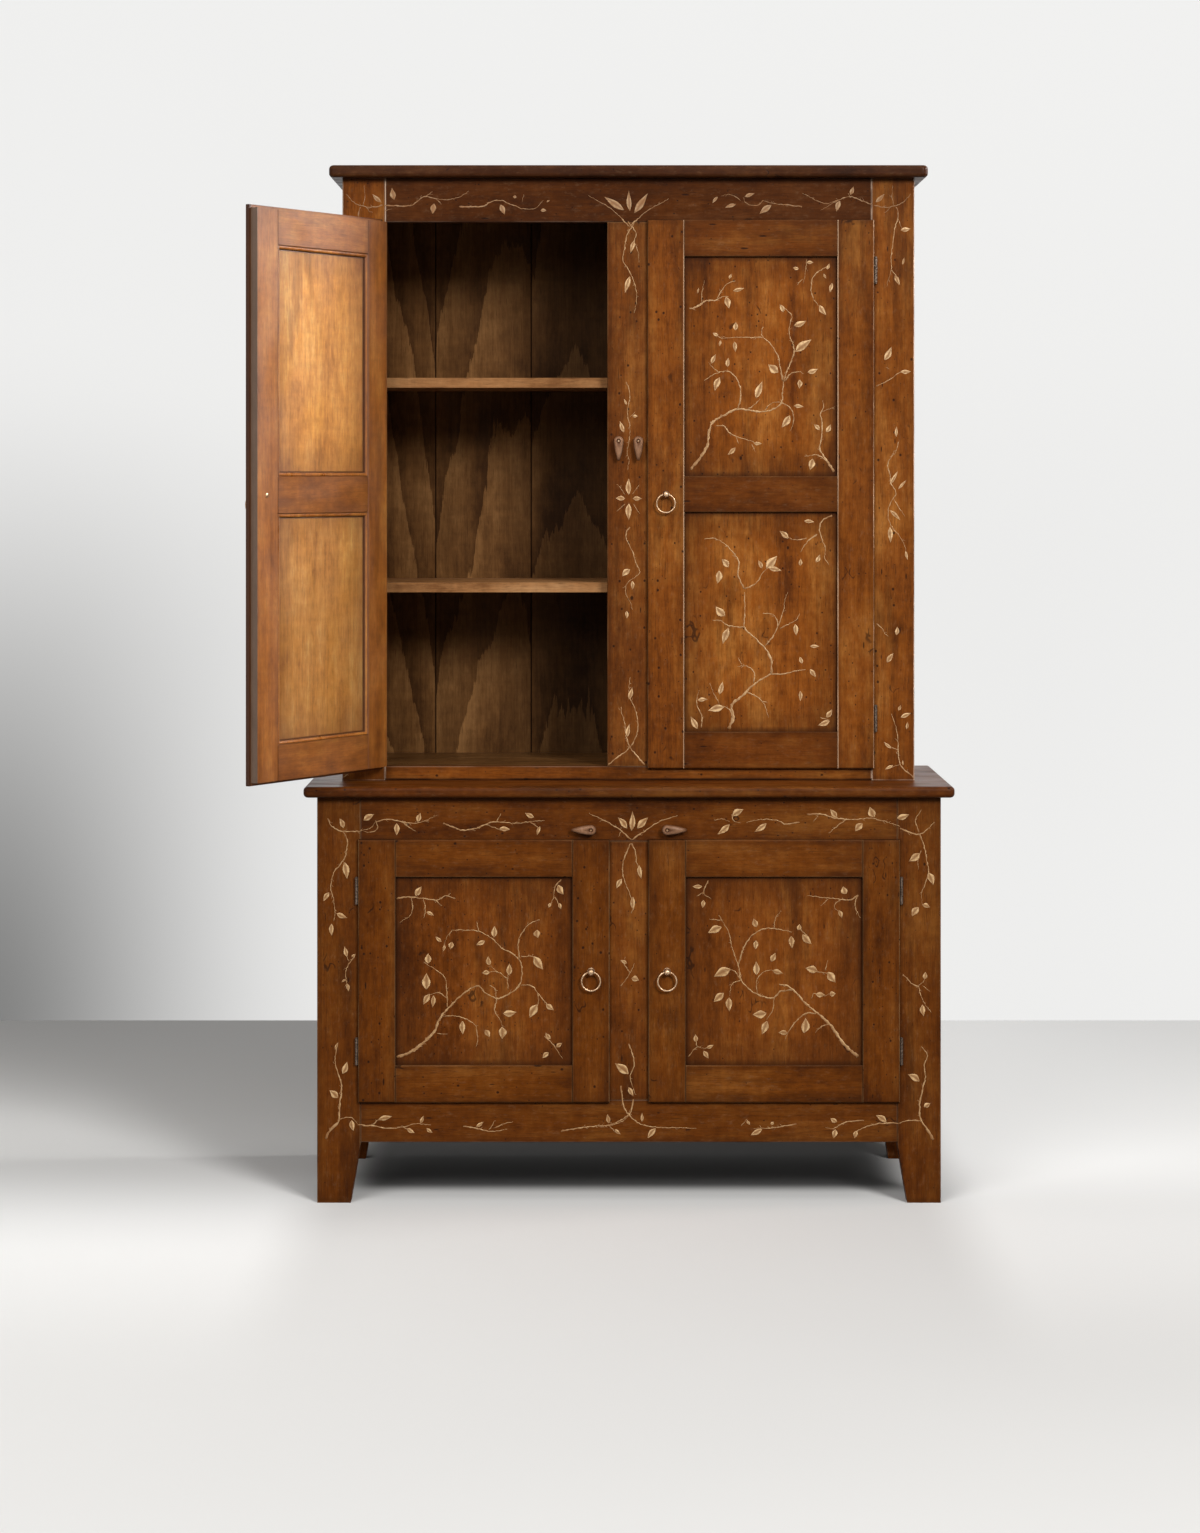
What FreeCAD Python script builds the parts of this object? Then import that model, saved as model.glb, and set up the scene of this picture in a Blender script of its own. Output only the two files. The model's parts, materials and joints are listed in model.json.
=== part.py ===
"""A two-part painted cupboard: a deep base with two doors and a shallower upper case with two tall doors.

Millimetres. X runs right, Y runs back and Z runs up. The origin is on the floor, in the middle of the
four feet. Right-hand pieces are modelled and mirrored to the left. The upper left door stands open.
"""
import FreeCAD
import Part

import math
import os

from FreeCAD import Vector

# Base
BASE_WIDTH = 1248.0
BASE_DEPTH = 490.0
FLOOR_CLEARANCE = 121.0
LEG_WIDTH = 87.0
LEG_DEPTH = 55.0
FOOT_WIDTH = 67.0
FOOT_DEPTH = 42.0
BASE_BOTTOM_RAIL = 85.0
BASE_TOP_RAIL = 89.0
BASE_SIDE_INSET = 6.0
SIDE_TONGUE = 10.0
WORKTOP_HEIGHT = 834.0
WORKTOP_THICKNESS = 22.0
WORKTOP_OVERHANG = 26.0

# Upper case
UPPER_END_STEP = 41.0
UPPER_SETBACK = 130.0
UPPER_STILE = 87.0
UPPER_BOTTOM_RAIL = 28.5
UPPER_TOP_RAIL = 89.5
OVERALL_HEIGHT = 2086.0
CROWN_THICKNESS = 25.0
CROWN_OVERHANG = 26.0

# Boards of both cases
FRAME_THICKNESS = 24.0
CENTRE_STILE = 86.0
SIDE_THICKNESS = 20.0
HOUSING_DEPTH = 6.0
SHELF_THICKNESS = 20.0
SHELF_SETBACK = 8.0
SHELF_PLAY = 0.5
LOW_SHELF_ABOVE_WORKTOP = 402.0
HIGH_SHELF_ABOVE_WORKTOP = 821.0
BASE_SHELF_ABOVE_FLOOR_BOARD = 268.0
CLEAT_SECTION = 20.0
BACK_THICKNESS = 12.0
BACK_BOARD_WIDTH = 204.5
BACK_REBATE = 10.0
NARROWEST_BOARD = 40.0
BOARD_TONGUE = 6.0
BOARD_TONGUE_THICKNESS = 4.0
BOARD_TONGUE_PLAY = 0.5
BOARD_VEE = 1.5
ARRIS = 1.5
EDGE_ROUND = 8.0
LARGEST_ROUND_SHARE = 0.45
CORNER_ROUND = 12.0
FRAME_TENON = 18.0
FRAME_TENON_THICKNESS = 8.0
FRAME_TENON_SHOULDER = 8.0
MORTISE_PLAY = 1.0

# Doors
LIP_OVERLAP = 4.5
LIP_THICKNESS = 10.0
LIP_GAP = 0.4
LIP_ROUND = 4.0
DOOR_THICKNESS = 25.0
DOOR_CLEARANCE = 1.5
DOOR_STILE = 75.0
DOOR_RAIL = 75.0
DOOR_MIDDLE_RAIL = 73.0
DOOR_TENON = 30.0
DOOR_TENON_SHOULDER = 14.0
PANEL_THICKNESS = 9.0
PANEL_GROOVE = 10.0
PANEL_PLAY = 2.0
PANEL_FIELD = 2.0
PANEL_BEVEL = 9.0
OPEN_ANGLE = 120.0

# Hinges
HINGE_HEIGHT = 54.0
HINGE_END_DISTANCE = 75.5
HINGE_LEAF = 1.6
HINGE_FRAME_REACH = 20.0
HINGE_DOOR_REACH = 13.0
BARREL_RADIUS = 3.25
PIN_RADIUS = 1.6
PIN_PLAY = 0.05
PIN_STANDOFF = 6.0
PIN_HEAD = 0.8
KNUCKLE_GAP = 0.4
BARREL_SIDES = 10

# Ring pulls
RING_RADIUS = 18.7
RING_WIRE = 2.3
RING_SEGMENTS = 24
WIRE_SIDES = 6
BALL_RADIUS = 7.2
BALL_FACET_ANGLE = 22.5
BALL_STANDOFF = 11.0
EYE_RADIUS = 3.8
NECK_RADIUS = 3.4
ROSE_RADIUS = 7.5
ROSE_THICKNESS = 2.0
SHANK_RADIUS = 2.5
RIVET_RADIUS = 5.0
RIVET_THICKNESS = 2.0
TURNED_SIDES = 12

# Turn buttons
BUTTON_WIDTH = 21.5
BUTTON_REACH = 40.0
BUTTON_TIP_RADIUS = 2.0
BUTTON_THICKNESS = 10.0
BUTTON_CROWN_RADIUS = 20.0
BUTTON_LIFT = 0.6
BUTTON_PLAY = 0.1
UPPER_BUTTON_X = 20.0
UPPER_BUTTON_ABOVE_PULL = 108.0
LOWER_BUTTON_ABOVE_DOOR = 19.5
UPPER_BUTTON_DROP = 90.0
SPACER_RADIUS = 8.0
SCREW_RADIUS = 2.0
SCREW_HEAD_RADIUS = 3.6
SCREW_HEAD_HEIGHT = 2.4
SCREW_SEAT = 1.5
SCREW_DEPTH = 14.0

# Planes and lines that several pieces share
BASE_FRONT = -BASE_DEPTH / 2
BACK = BASE_DEPTH / 2
BACK_BOARD_FACE = BACK - BACK_THICKNESS
BASE_TOP = WORKTOP_HEIGHT - WORKTOP_THICKNESS
BASE_HALF = BASE_WIDTH / 2
LEG_INNER = BASE_HALF - LEG_WIDTH
BASE_SIDE_OUTER = BASE_HALF - BASE_SIDE_INSET
BASE_SIDE_INNER = BASE_SIDE_OUTER - SIDE_THICKNESS
UPPER_FRONT = BASE_FRONT + UPPER_SETBACK
UPPER_TOP = OVERALL_HEIGHT - CROWN_THICKNESS
UPPER_HALF = BASE_HALF - UPPER_END_STEP
UPPER_INNER = UPPER_HALF - UPPER_STILE
UPPER_SIDE_INNER = UPPER_HALF - SIDE_THICKNESS
UPPER_OPENING_X = (CENTRE_STILE / 2, UPPER_INNER)
UPPER_OPENING_Z = (WORKTOP_HEIGHT + UPPER_BOTTOM_RAIL, UPPER_TOP - UPPER_TOP_RAIL)
BASE_OPENING_X = (CENTRE_STILE / 2, LEG_INNER)
BASE_OPENING_Z = (FLOOR_CLEARANCE + BASE_BOTTOM_RAIL, BASE_TOP - BASE_TOP_RAIL)
LOW_SHELF = WORKTOP_HEIGHT + LOW_SHELF_ABOVE_WORKTOP
HIGH_SHELF = WORKTOP_HEIGHT + HIGH_SHELF_ABOVE_WORKTOP
BASE_SHELF = BASE_OPENING_Z[0] + BASE_SHELF_ABOVE_FLOOR_BOARD
SPACER_HEIGHT = LIP_GAP + LIP_THICKNESS + BUTTON_LIFT
PULL_X = CENTRE_STILE / 2 - LIP_OVERLAP + DOOR_STILE / 2


def block(x, y, z):
    """A box between the low and high values of each pair."""
    return Part.makeBox(x[1] - x[0], y[1] - y[0], z[1] - z[0], Vector(x[0], y[0], z[0]))


def prism(points, push):
    """A straight-sided outline pushed along a vector."""
    return Part.Face(Part.makePolygon(points + points[:1])).extrude(push)


def mirrored(shape):
    """The left-hand copy of a right-hand piece."""
    return shape.mirror(Vector(0, 0, 0), Vector(1, 0, 0))


def grown(pair, amount):
    """A low and high value moved apart by an amount at each end."""
    return (pair[0] - amount, pair[1] + amount)


def middle(pair):
    return (pair[0] + pair[1]) / 2


def polygon(radius, sides):
    """Corners of a regular polygon about the origin, with a flat at the right."""
    angles = [2 * math.pi * (step + 0.5) / sides for step in range(sides)]
    return [(radius * math.cos(angle), radius * math.sin(angle)) for angle in angles]


def free_radius(radius, sides):
    """The corner radius of a polygonal hole whose flats clear a round of the given radius."""
    return radius / math.cos(math.pi / sides)


def faceted(rings, closed=False):
    """A solid of flat faces between rings of matching points, capped at its ends or closed on itself."""
    pairs = list(zip(rings, rings[1:]))
    loops = [rings[0], rings[-1]]
    if closed:
        pairs.append((rings[-1], rings[0]))
        loops = []
    for first, second in pairs:
        for index in range(len(first)):
            after = (index + 1) % len(first)
            loops.append([first[index], first[after], second[after], second[index]])
    faces = [Part.Face(Part.makePolygon(loop + loop[:1])) for loop in loops]
    solid = Part.makeSolid(Part.makeShell(faces))
    if solid.Volume < 0:
        solid.reverse()
    return solid


def turned(place, profile, sides=TURNED_SIDES):
    """A turning about a line along Y through X and Z, from pairs of radius and Y."""
    rings = []
    for radius, y in profile:
        rings.append([Vector(place[0] + a, y, place[1] + b) for a, b in polygon(radius, sides)])
    return faceted(rings)


def turned_upright(place, profile, sides):
    """A turning about a vertical line through X and Y, from pairs of radius and height."""
    rings = []
    for radius, z in profile:
        rings.append([Vector(place[0] + a, place[1] + b, z) for a, b in polygon(radius, sides)])
    return faceted(rings)


def upright(x, y, z, back_arris=0.0):
    """A vertical board whose front arrises are taken off, and its back ones by their own amount."""
    outline = [
        (x[0], y[0] + ARRIS), (x[0] + ARRIS, y[0]), (x[1] - ARRIS, y[0]), (x[1], y[0] + ARRIS),
        (x[1], y[1] - back_arris), (x[1] - back_arris, y[1]),
        (x[0] + back_arris, y[1]), (x[0], y[1] - back_arris),
    ]
    corners = [Vector(a, b, z[0]) for a, b in dict.fromkeys(outline)]
    return prism(corners, Vector(0, 0, z[1] - z[0]))


def crosspiece(x, y, z, back_arris=0.0):
    """A horizontal board along X with the same arrises as an upright."""
    outline = [
        (y[0] + ARRIS, z[0]), (y[0], z[0] + ARRIS), (y[0], z[1] - ARRIS), (y[0] + ARRIS, z[1]),
        (y[1] - back_arris, z[1]), (y[1], z[1] - back_arris),
        (y[1], z[0] + back_arris), (y[1] - back_arris, z[0]),
    ]
    corners = [Vector(x[0], a, b) for a, b in dict.fromkeys(outline)]
    return prism(corners, Vector(x[1] - x[0], 0, 0))


def edges_along(shape, axis, keep):
    """The straight edges parallel to an axis (0, 1 or 2) whose midpoint passes a test."""
    found = []
    for edge in shape.Edges:
        ends = [vertex.Point for vertex in edge.Vertexes]
        if len(ends) == 2:
            step = ends[1] - ends[0]
            if abs(step[axis]) > 0.999 * step.Length and keep((ends[0] + ends[1]) * 0.5):
                found.append(edge)
    return found


def rounded_slab(half_width, front, back, z):
    """A board with a rounded nose along its front and both ends, and a square back edge."""
    slab = block((-half_width, half_width), (front, back), z)
    nose = min(EDGE_ROUND, LARGEST_ROUND_SHARE * (z[1] - z[0]))
    corners = edges_along(slab, 2, lambda p: p.y < middle((front, back)))
    slab = slab.makeFillet(max(CORNER_ROUND, nose + ARRIS), corners)
    rim = [edge for edge in slab.Edges if is_flat_edge(edge) and edge.CenterOfMass.y < back - ARRIS]
    return slab.makeFillet(nose, rim)


def is_flat_edge(edge):
    """True for an edge that stays at one height."""
    box = edge.BoundBox
    return box.ZLength < 1e-6


def face_frame(reach, front, bottom_rail, top_rail):
    """Rails between two uprights and the stile between the rails.

    Returns the bottom rail, the top rail, the centre stile and the mortises in the right upright.
    """
    depth = (front, front + FRAME_THICKNESS)
    tenon_y = grown((middle(depth), middle(depth)), FRAME_TENON_THICKNESS / 2)
    rails, mortises = [], []
    for z in (bottom_rail, top_rail):
        rail = crosspiece((-reach, reach), depth, z)
        tenon_z = grown(z, -FRAME_TENON_SHOULDER)
        rail = rail.fuse(block((-reach - FRAME_TENON, reach + FRAME_TENON), tenon_y, tenon_z))
        mortises.append(block((reach, reach + FRAME_TENON + MORTISE_PLAY), tenon_y, tenon_z))
        rails.append(rail.removeSplitter())
    half = CENTRE_STILE / 2
    opening = (bottom_rail[1], top_rail[0])
    tenon_x = grown((-half, half), -FRAME_TENON_SHOULDER)
    stile = upright((-half, half), depth, opening)
    stile = stile.fuse(block(tenon_x, tenon_y, grown(opening, FRAME_TENON))).removeSplitter()
    pocket = block(tenon_x, tenon_y, grown(opening, FRAME_TENON + MORTISE_PLAY))
    return rails[0].cut(pocket), rails[1].cut(pocket), stile, mortises


def leg_blank():
    """The front right leg before its joints: square above, tapered on both inner faces below the rail."""
    y = (BASE_FRONT, BASE_FRONT + LEG_DEPTH)
    x = (LEG_INNER, BASE_HALF)
    leg = upright(x, y, (0, BASE_TOP), ARRIS)
    inner_taper = prism(
        [Vector(x[0], y[0], FLOOR_CLEARANCE), Vector(x[0], y[0], 0), Vector(x[1] - FOOT_WIDTH, y[0], 0)],
        Vector(0, LEG_DEPTH, 0),
    )
    back_taper = prism(
        [Vector(x[0], y[1], FLOOR_CLEARANCE), Vector(x[0], y[1], 0), Vector(x[0], y[0] + FOOT_DEPTH, 0)],
        Vector(LEG_WIDTH, 0, 0),
    )
    return leg.cut(inner_taper).cut(back_taper)


def back_boards(half_width, z):
    """Tongued and grooved boards side by side, with a small vee at each seam, square at the outer edges."""
    each_side = max(int((half_width - NARROWEST_BOARD) / BACK_BOARD_WIDTH), 0)
    seams = [step * BACK_BOARD_WIDTH for step in range(-each_side, each_side + 1)]
    lines = [-half_width] + seams + [half_width]
    y = (BACK_BOARD_FACE, BACK)
    tongue_y = grown((middle(y), middle(y)), BOARD_TONGUE_THICKNESS / 2)
    boards = []
    for left, right in zip(lines, lines[1:]):
        vee_left = BOARD_VEE if left in seams else 0.0
        vee_right = BOARD_VEE if right in seams else 0.0
        outline = [
            (left, y[0] + vee_left), (left + vee_left, y[0]), (right - vee_right, y[0]),
            (right, y[0] + vee_right), (right, y[1]), (left, y[1]),
        ]
        corners = [Vector(a, b, z[0]) for a, b in dict.fromkeys(outline)]
        board = prism(corners, Vector(0, 0, z[1] - z[0]))
        if vee_left:
            board = board.cut(block((left, left + BOARD_TONGUE + BOARD_TONGUE_PLAY), tongue_y, z))
        if vee_right:
            board = board.fuse(block((right, right + BOARD_TONGUE), tongue_y, z)).removeSplitter()
        boards.append(board)
    return Part.makeCompound(boards)


def hinge_heights(opening_z):
    """Low and high ends of a door's two hinges."""
    door_z = grown(opening_z, LIP_OVERLAP)
    low = door_z[0] + HINGE_END_DISTANCE
    high = door_z[1] - HINGE_END_DISTANCE
    return [(low, low + HINGE_HEIGHT), (high - HINGE_HEIGHT, high)]


def hinge_axis(opening_x, front):
    """X and Y of a right-hand door's pin."""
    return opening_x[1] + LIP_OVERLAP + BARREL_RADIUS, front - PIN_STANDOFF


def knuckle(axis, z):
    """One barrel of a hinge leaf and the bore to cut from it, which runs freely on the pin."""
    bore_radius = free_radius(PIN_RADIUS + PIN_PLAY, BARREL_SIDES)
    barrel = turned_upright(axis, [(BARREL_RADIUS, z[0]), (BARREL_RADIUS, z[1])], BARREL_SIDES)
    bore = turned_upright(axis, [(bore_radius, z[0]), (bore_radius, z[1])], BARREL_SIDES)
    return barrel, bore


def hinge(opening_x, front, z):
    """An offset hinge for a lipped door: the frame's leaf, the door's leaf, the pin, and the two recesses.

    The frame's leaf has the two outer knuckles and is let into the frame's face and edge. The door's leaf
    has the middle knuckle, wraps the lip's edge and back, and is let into the rebate.
    """
    axis = hinge_axis(opening_x, front)
    frame_edge = opening_x[1]
    lip_edge = frame_edge + LIP_OVERLAP
    lip_back = front - LIP_GAP
    rebate = frame_edge - DOOR_CLEARANCE
    third = (z[1] - z[0] - 2 * KNUCKLE_GAP) / 3
    low = (z[0], z[0] + third)
    centre = (low[1] + KNUCKLE_GAP, low[1] + KNUCKLE_GAP + third)
    high = (z[1] - third, z[1])

    frame_recess = block((frame_edge, axis[0] + HINGE_LEAF / 2), (front, front + HINGE_LEAF), z)
    frame_recess = frame_recess.fuse(
        block((frame_edge, frame_edge + HINGE_LEAF), (front, front + HINGE_FRAME_REACH), z)
    )
    frame_leaf = frame_recess
    for part in (low, high):
        barrel, bore = knuckle(axis, part)
        strap = block(grown((axis[0], axis[0]), HINGE_LEAF / 2), (axis[1], front), part)
        frame_leaf = frame_leaf.fuse(strap.fuse(barrel).cut(bore))

    door_recess = block((rebate, lip_edge), (lip_back - HINGE_LEAF, lip_back), z)
    door_recess = door_recess.fuse(
        block((rebate - HINGE_LEAF, rebate), (lip_back - HINGE_LEAF, lip_back + HINGE_DOOR_REACH), z)
    )
    barrel, bore = knuckle(axis, centre)
    strap = block((lip_edge, lip_edge + HINGE_LEAF), (axis[1], lip_back), centre)
    door_leaf = door_recess.fuse(strap.fuse(barrel).cut(bore))

    pin_z = grown(z, PIN_HEAD)
    pin = turned_upright(axis, [(PIN_RADIUS, pin_z[0]), (PIN_RADIUS, pin_z[1])], BARREL_SIDES)
    return {
        "frame_leaf": frame_leaf.removeSplitter(),
        "door_leaf": door_leaf.removeSplitter(),
        "pin": pin,
        "frame_recess": frame_recess,
        "door_recess": door_recess,
    }


def door_hinges(opening_x, opening_z, front):
    return [hinge(opening_x, front, z) for z in hinge_heights(opening_z)]


def door_envelope(opening_x, opening_z, front):
    """The whole door as one lipped slab: the rounded lip over the frame, and the part inside the opening."""
    lip_y = (front - LIP_GAP - LIP_THICKNESS, front - LIP_GAP)
    lip = block(grown(opening_x, LIP_OVERLAP), lip_y, grown(opening_z, LIP_OVERLAP))
    round_over = min(LIP_ROUND, LARGEST_ROUND_SHARE * LIP_THICKNESS)
    rim = [edge for edge in lip.Edges if edge.BoundBox.YMax < middle(lip_y)]
    lip = lip.makeFillet(round_over, rim)
    inside = block(
        grown(opening_x, -DOOR_CLEARANCE), (lip_y[0] + round_over, lip_y[0] + DOOR_THICKNESS),
        grown(opening_z, -DOOR_CLEARANCE),
    )
    return lip.fuse(inside).removeSplitter()


def panel(x, y, z, edge):
    """A flat panel held in grooves, with a low raised field on its inner face inside a bevelled margin."""
    core = block(grown(x, edge), y, grown(z, edge))
    low = [(x[0], z[0]), (x[1], z[0]), (x[1], z[1]), (x[0], z[1])]
    field_x, field_z = grown(x, -PANEL_BEVEL), grown(z, -PANEL_BEVEL)
    high = [
        (field_x[0], field_z[0]), (field_x[1], field_z[0]),
        (field_x[1], field_z[1]), (field_x[0], field_z[1]),
    ]
    margin = [Vector(a, y[1], b) for a, b in low]
    field = [Vector(a, y[1] + PANEL_FIELD, b) for a, b in high]
    wires = [Part.makePolygon(ring + ring[:1]) for ring in (margin, field)]
    return core.fuse(Part.makeLoft(wires, True, True)).removeSplitter()


def door(opening_x, opening_z, front, with_middle_rail):
    """A closed right-hand door: two stiles, rails tenoned between them, and panels in their grooves."""
    x = grown(opening_x, LIP_OVERLAP)
    z = grown(opening_z, LIP_OVERLAP)
    face = front - LIP_GAP - LIP_THICKNESS
    y = (face, face + DOOR_THICKNESS)
    inner = (x[0] + DOOR_STILE, x[1] - DOOR_STILE)
    panel_y = grown((middle(y), middle(y)), PANEL_THICKNESS / 2)
    rails_z = [(z[0], z[0] + DOOR_RAIL), (z[1] - DOOR_RAIL, z[1])]
    if with_middle_rail:
        rails_z.insert(1, grown((middle(z), middle(z)), DOOR_MIDDLE_RAIL / 2))
    panels_z = [(lower[1], upper[0]) for lower, upper in zip(rails_z, rails_z[1:])]

    lock_stile = upright((x[0], inner[0]), y, z, ARRIS)
    hinge_stile = upright((inner[1], x[1]), y, z, ARRIS)
    rails = [crosspiece(inner, y, rail_z, ARRIS) for rail_z in rails_z]
    for index, rail_z in enumerate(rails_z):
        tenon_z = grown(rail_z, -DOOR_TENON_SHOULDER)
        tenon = block(grown(inner, DOOR_TENON), panel_y, tenon_z)
        mortise = block(grown(inner, DOOR_TENON + MORTISE_PLAY), panel_y, tenon_z)
        rails[index] = rails[index].fuse(tenon).removeSplitter()
        lock_stile = lock_stile.cut(mortise)
        hinge_stile = hinge_stile.cut(mortise)

    panels = []
    for panel_z in panels_z:
        groove = block(grown(inner, PANEL_GROOVE), panel_y, grown(panel_z, PANEL_GROOVE))
        lock_stile = lock_stile.cut(groove)
        hinge_stile = hinge_stile.cut(groove)
        rails = [rail.cut(groove) for rail in rails]
        panels.append(panel(inner, panel_y, panel_z, PANEL_GROOVE - PANEL_PLAY))

    envelope = door_envelope(opening_x, opening_z, front)
    for fitting in door_hinges(opening_x, opening_z, front):
        hinge_stile = hinge_stile.cut(fitting["door_recess"])
    pull_place = (PULL_X, middle(z))
    shank = turned(pull_place, [(SHANK_RADIUS, y[0]), (SHANK_RADIUS, y[1])])
    return {
        "lock_stile": lock_stile.common(envelope).cut(shank),
        "hinge_stile": hinge_stile.common(envelope),
        "rails": Part.makeCompound([rail.common(envelope) for rail in rails]),
        "panels": Part.makeCompound(panels),
        "hinge_leaves": Part.makeCompound(
            [fitting["door_leaf"] for fitting in door_hinges(opening_x, opening_z, front)]
        ),
        "pull_post": pull_post(pull_place, face),
    }


def pull_post(place, face):
    """A ball with an eye on a neck and a rose, whose shank passes through the stile to a rivet inside."""
    back = face + DOOR_THICKNESS
    ball_y = face - BALL_STANDOFF
    cap = BALL_RADIUS * math.sin(math.radians(BALL_FACET_ANGLE))
    shoulder = BALL_RADIUS * math.cos(math.radians(BALL_FACET_ANGLE))
    post = turned(place, [
        (cap, ball_y - shoulder), (shoulder, ball_y - cap), (shoulder, ball_y + cap),
        (NECK_RADIUS, ball_y + shoulder), (NECK_RADIUS, face - ROSE_THICKNESS), (ROSE_RADIUS, face),
    ])
    shank = turned(place, [(SHANK_RADIUS, face), (SHANK_RADIUS, back)])
    rivet = turned(place, [(RIVET_RADIUS, back), (RIVET_RADIUS / 2, back + RIVET_THICKNESS)])
    eye_ends = grown((place[0], place[0]), 2 * BALL_RADIUS)
    eye_outline = polygon(free_radius(EYE_RADIUS, TURNED_SIDES), TURNED_SIDES)
    eye = faceted([[Vector(x, ball_y + a, place[1] + b) for a, b in eye_outline] for x in eye_ends])
    return post.fuse([shank, rivet]).removeSplitter().cut(eye)


def pull_ring(place, face):
    """A wire ring that hangs through the ball's eye, parallel to the door."""
    centre = Vector(place[0], face - BALL_STANDOFF, place[1] - RING_RADIUS)
    sections = []
    for step in range(RING_SEGMENTS):
        turn = 2 * math.pi * step / RING_SEGMENTS
        outward = Vector(math.cos(turn), 0, math.sin(turn))
        wire = polygon(RING_WIRE, WIRE_SIDES)
        sections.append([centre + outward * (RING_RADIUS + a) + Vector(0, b, 0) for a, b in wire])
    return faceted(sections, True)


def turn_button(pivot, front, drop):
    """A teardrop button with a crowned face that turns on a screw and clears the door's lip.

    It points outwards along X, turned down by an angle.
    """
    half = BUTTON_WIDTH / 2
    seat = front - SPACER_HEIGHT
    tip_x = BUTTON_REACH - BUTTON_TIP_RADIUS
    lean = math.asin((half - BUTTON_TIP_RADIUS) / tip_x)
    side = (math.sin(lean), math.cos(lean))

    def corner(x, radius, sign):
        return Vector(pivot[0] + x + radius * side[0], seat, pivot[1] + sign * radius * side[1])

    head = Part.Arc(
        corner(0, half, 1), Vector(pivot[0] - half, seat, pivot[1]), corner(0, half, -1)
    ).toShape()
    tip = Part.Arc(
        corner(tip_x, BUTTON_TIP_RADIUS, -1), Vector(pivot[0] + BUTTON_REACH, seat, pivot[1]),
        corner(tip_x, BUTTON_TIP_RADIUS, 1),
    ).toShape()
    flanks = [
        Part.makeLine(corner(0, half, -1), corner(tip_x, BUTTON_TIP_RADIUS, -1)),
        Part.makeLine(corner(tip_x, BUTTON_TIP_RADIUS, 1), corner(0, half, 1)),
    ]
    outline = Part.Face(Part.Wire([head, flanks[0], tip, flanks[1]]))
    arm = outline.extrude(Vector(0, -BUTTON_THICKNESS, 0))
    crown_radius = max(BUTTON_CROWN_RADIUS, half + BUTTON_TIP_RADIUS)
    crown = Part.makeCylinder(
        crown_radius, 3 * BUTTON_REACH,
        Vector(pivot[0] - BUTTON_REACH, seat - BUTTON_THICKNESS + crown_radius, pivot[1]), Vector(1, 0, 0),
    )
    arm = arm.common(crown)
    face = seat - BUTTON_THICKNESS
    bore_radius = free_radius(SCREW_RADIUS + BUTTON_PLAY, TURNED_SIDES)
    seat_radius = free_radius(SCREW_HEAD_RADIUS + BUTTON_PLAY, TURNED_SIDES)
    bore = turned(pivot, [(bore_radius, face), (bore_radius, seat)])
    head_seat = turned(pivot, [(seat_radius, face), (seat_radius, face + SCREW_SEAT)])
    button = arm.cut(bore).cut(head_seat)
    button.rotate(Vector(pivot[0], seat, pivot[1]), Vector(0, 1, 0), drop)
    return button


def button_screw(pivot, front):
    """A round-headed screw through the button and its spacer into the frame."""
    under_head = front - SPACER_HEIGHT - BUTTON_THICKNESS + SCREW_SEAT - BUTTON_PLAY
    head_top = under_head - SCREW_HEAD_HEIGHT
    head = turned(pivot, [(SCREW_HEAD_RADIUS / 2, head_top), (SCREW_HEAD_RADIUS, under_head)])
    shank = turned(pivot, [(SCREW_RADIUS, under_head), (SCREW_RADIUS, front + SCREW_DEPTH)])
    return head.fuse(shank).removeSplitter()


def button_spacer(pivot, front):
    """A round washer that lifts a turn button in front of the doors' lips."""
    ends = (front - SPACER_HEIGHT + BUTTON_PLAY, front)
    body = turned(pivot, [(SPACER_RADIUS, ends[0]), (SPACER_RADIUS, ends[1])])
    return body.cut(turned(pivot, [(SCREW_RADIUS, ends[0]), (SCREW_RADIUS, ends[1])]))


def screw_hole(pivot, front):
    return turned(pivot, [(SCREW_RADIUS, front), (SCREW_RADIUS, front + SCREW_DEPTH)])


def button_pivots():
    """X, Z and the face behind each right-hand turn button, and how far it is turned down."""
    upper_height = middle(UPPER_OPENING_Z) + UPPER_BUTTON_ABOVE_PULL
    lower_height = BASE_OPENING_Z[1] + LIP_OVERLAP + LOWER_BUTTON_ABOVE_DOOR
    return {
        "upper": ((UPPER_BUTTON_X, upper_height), UPPER_FRONT, UPPER_BUTTON_DROP),
        "lower": ((PULL_X, lower_height), BASE_FRONT, 0.0),
    }


def both_sides(shape):
    return [shape, mirrored(shape)]


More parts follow.
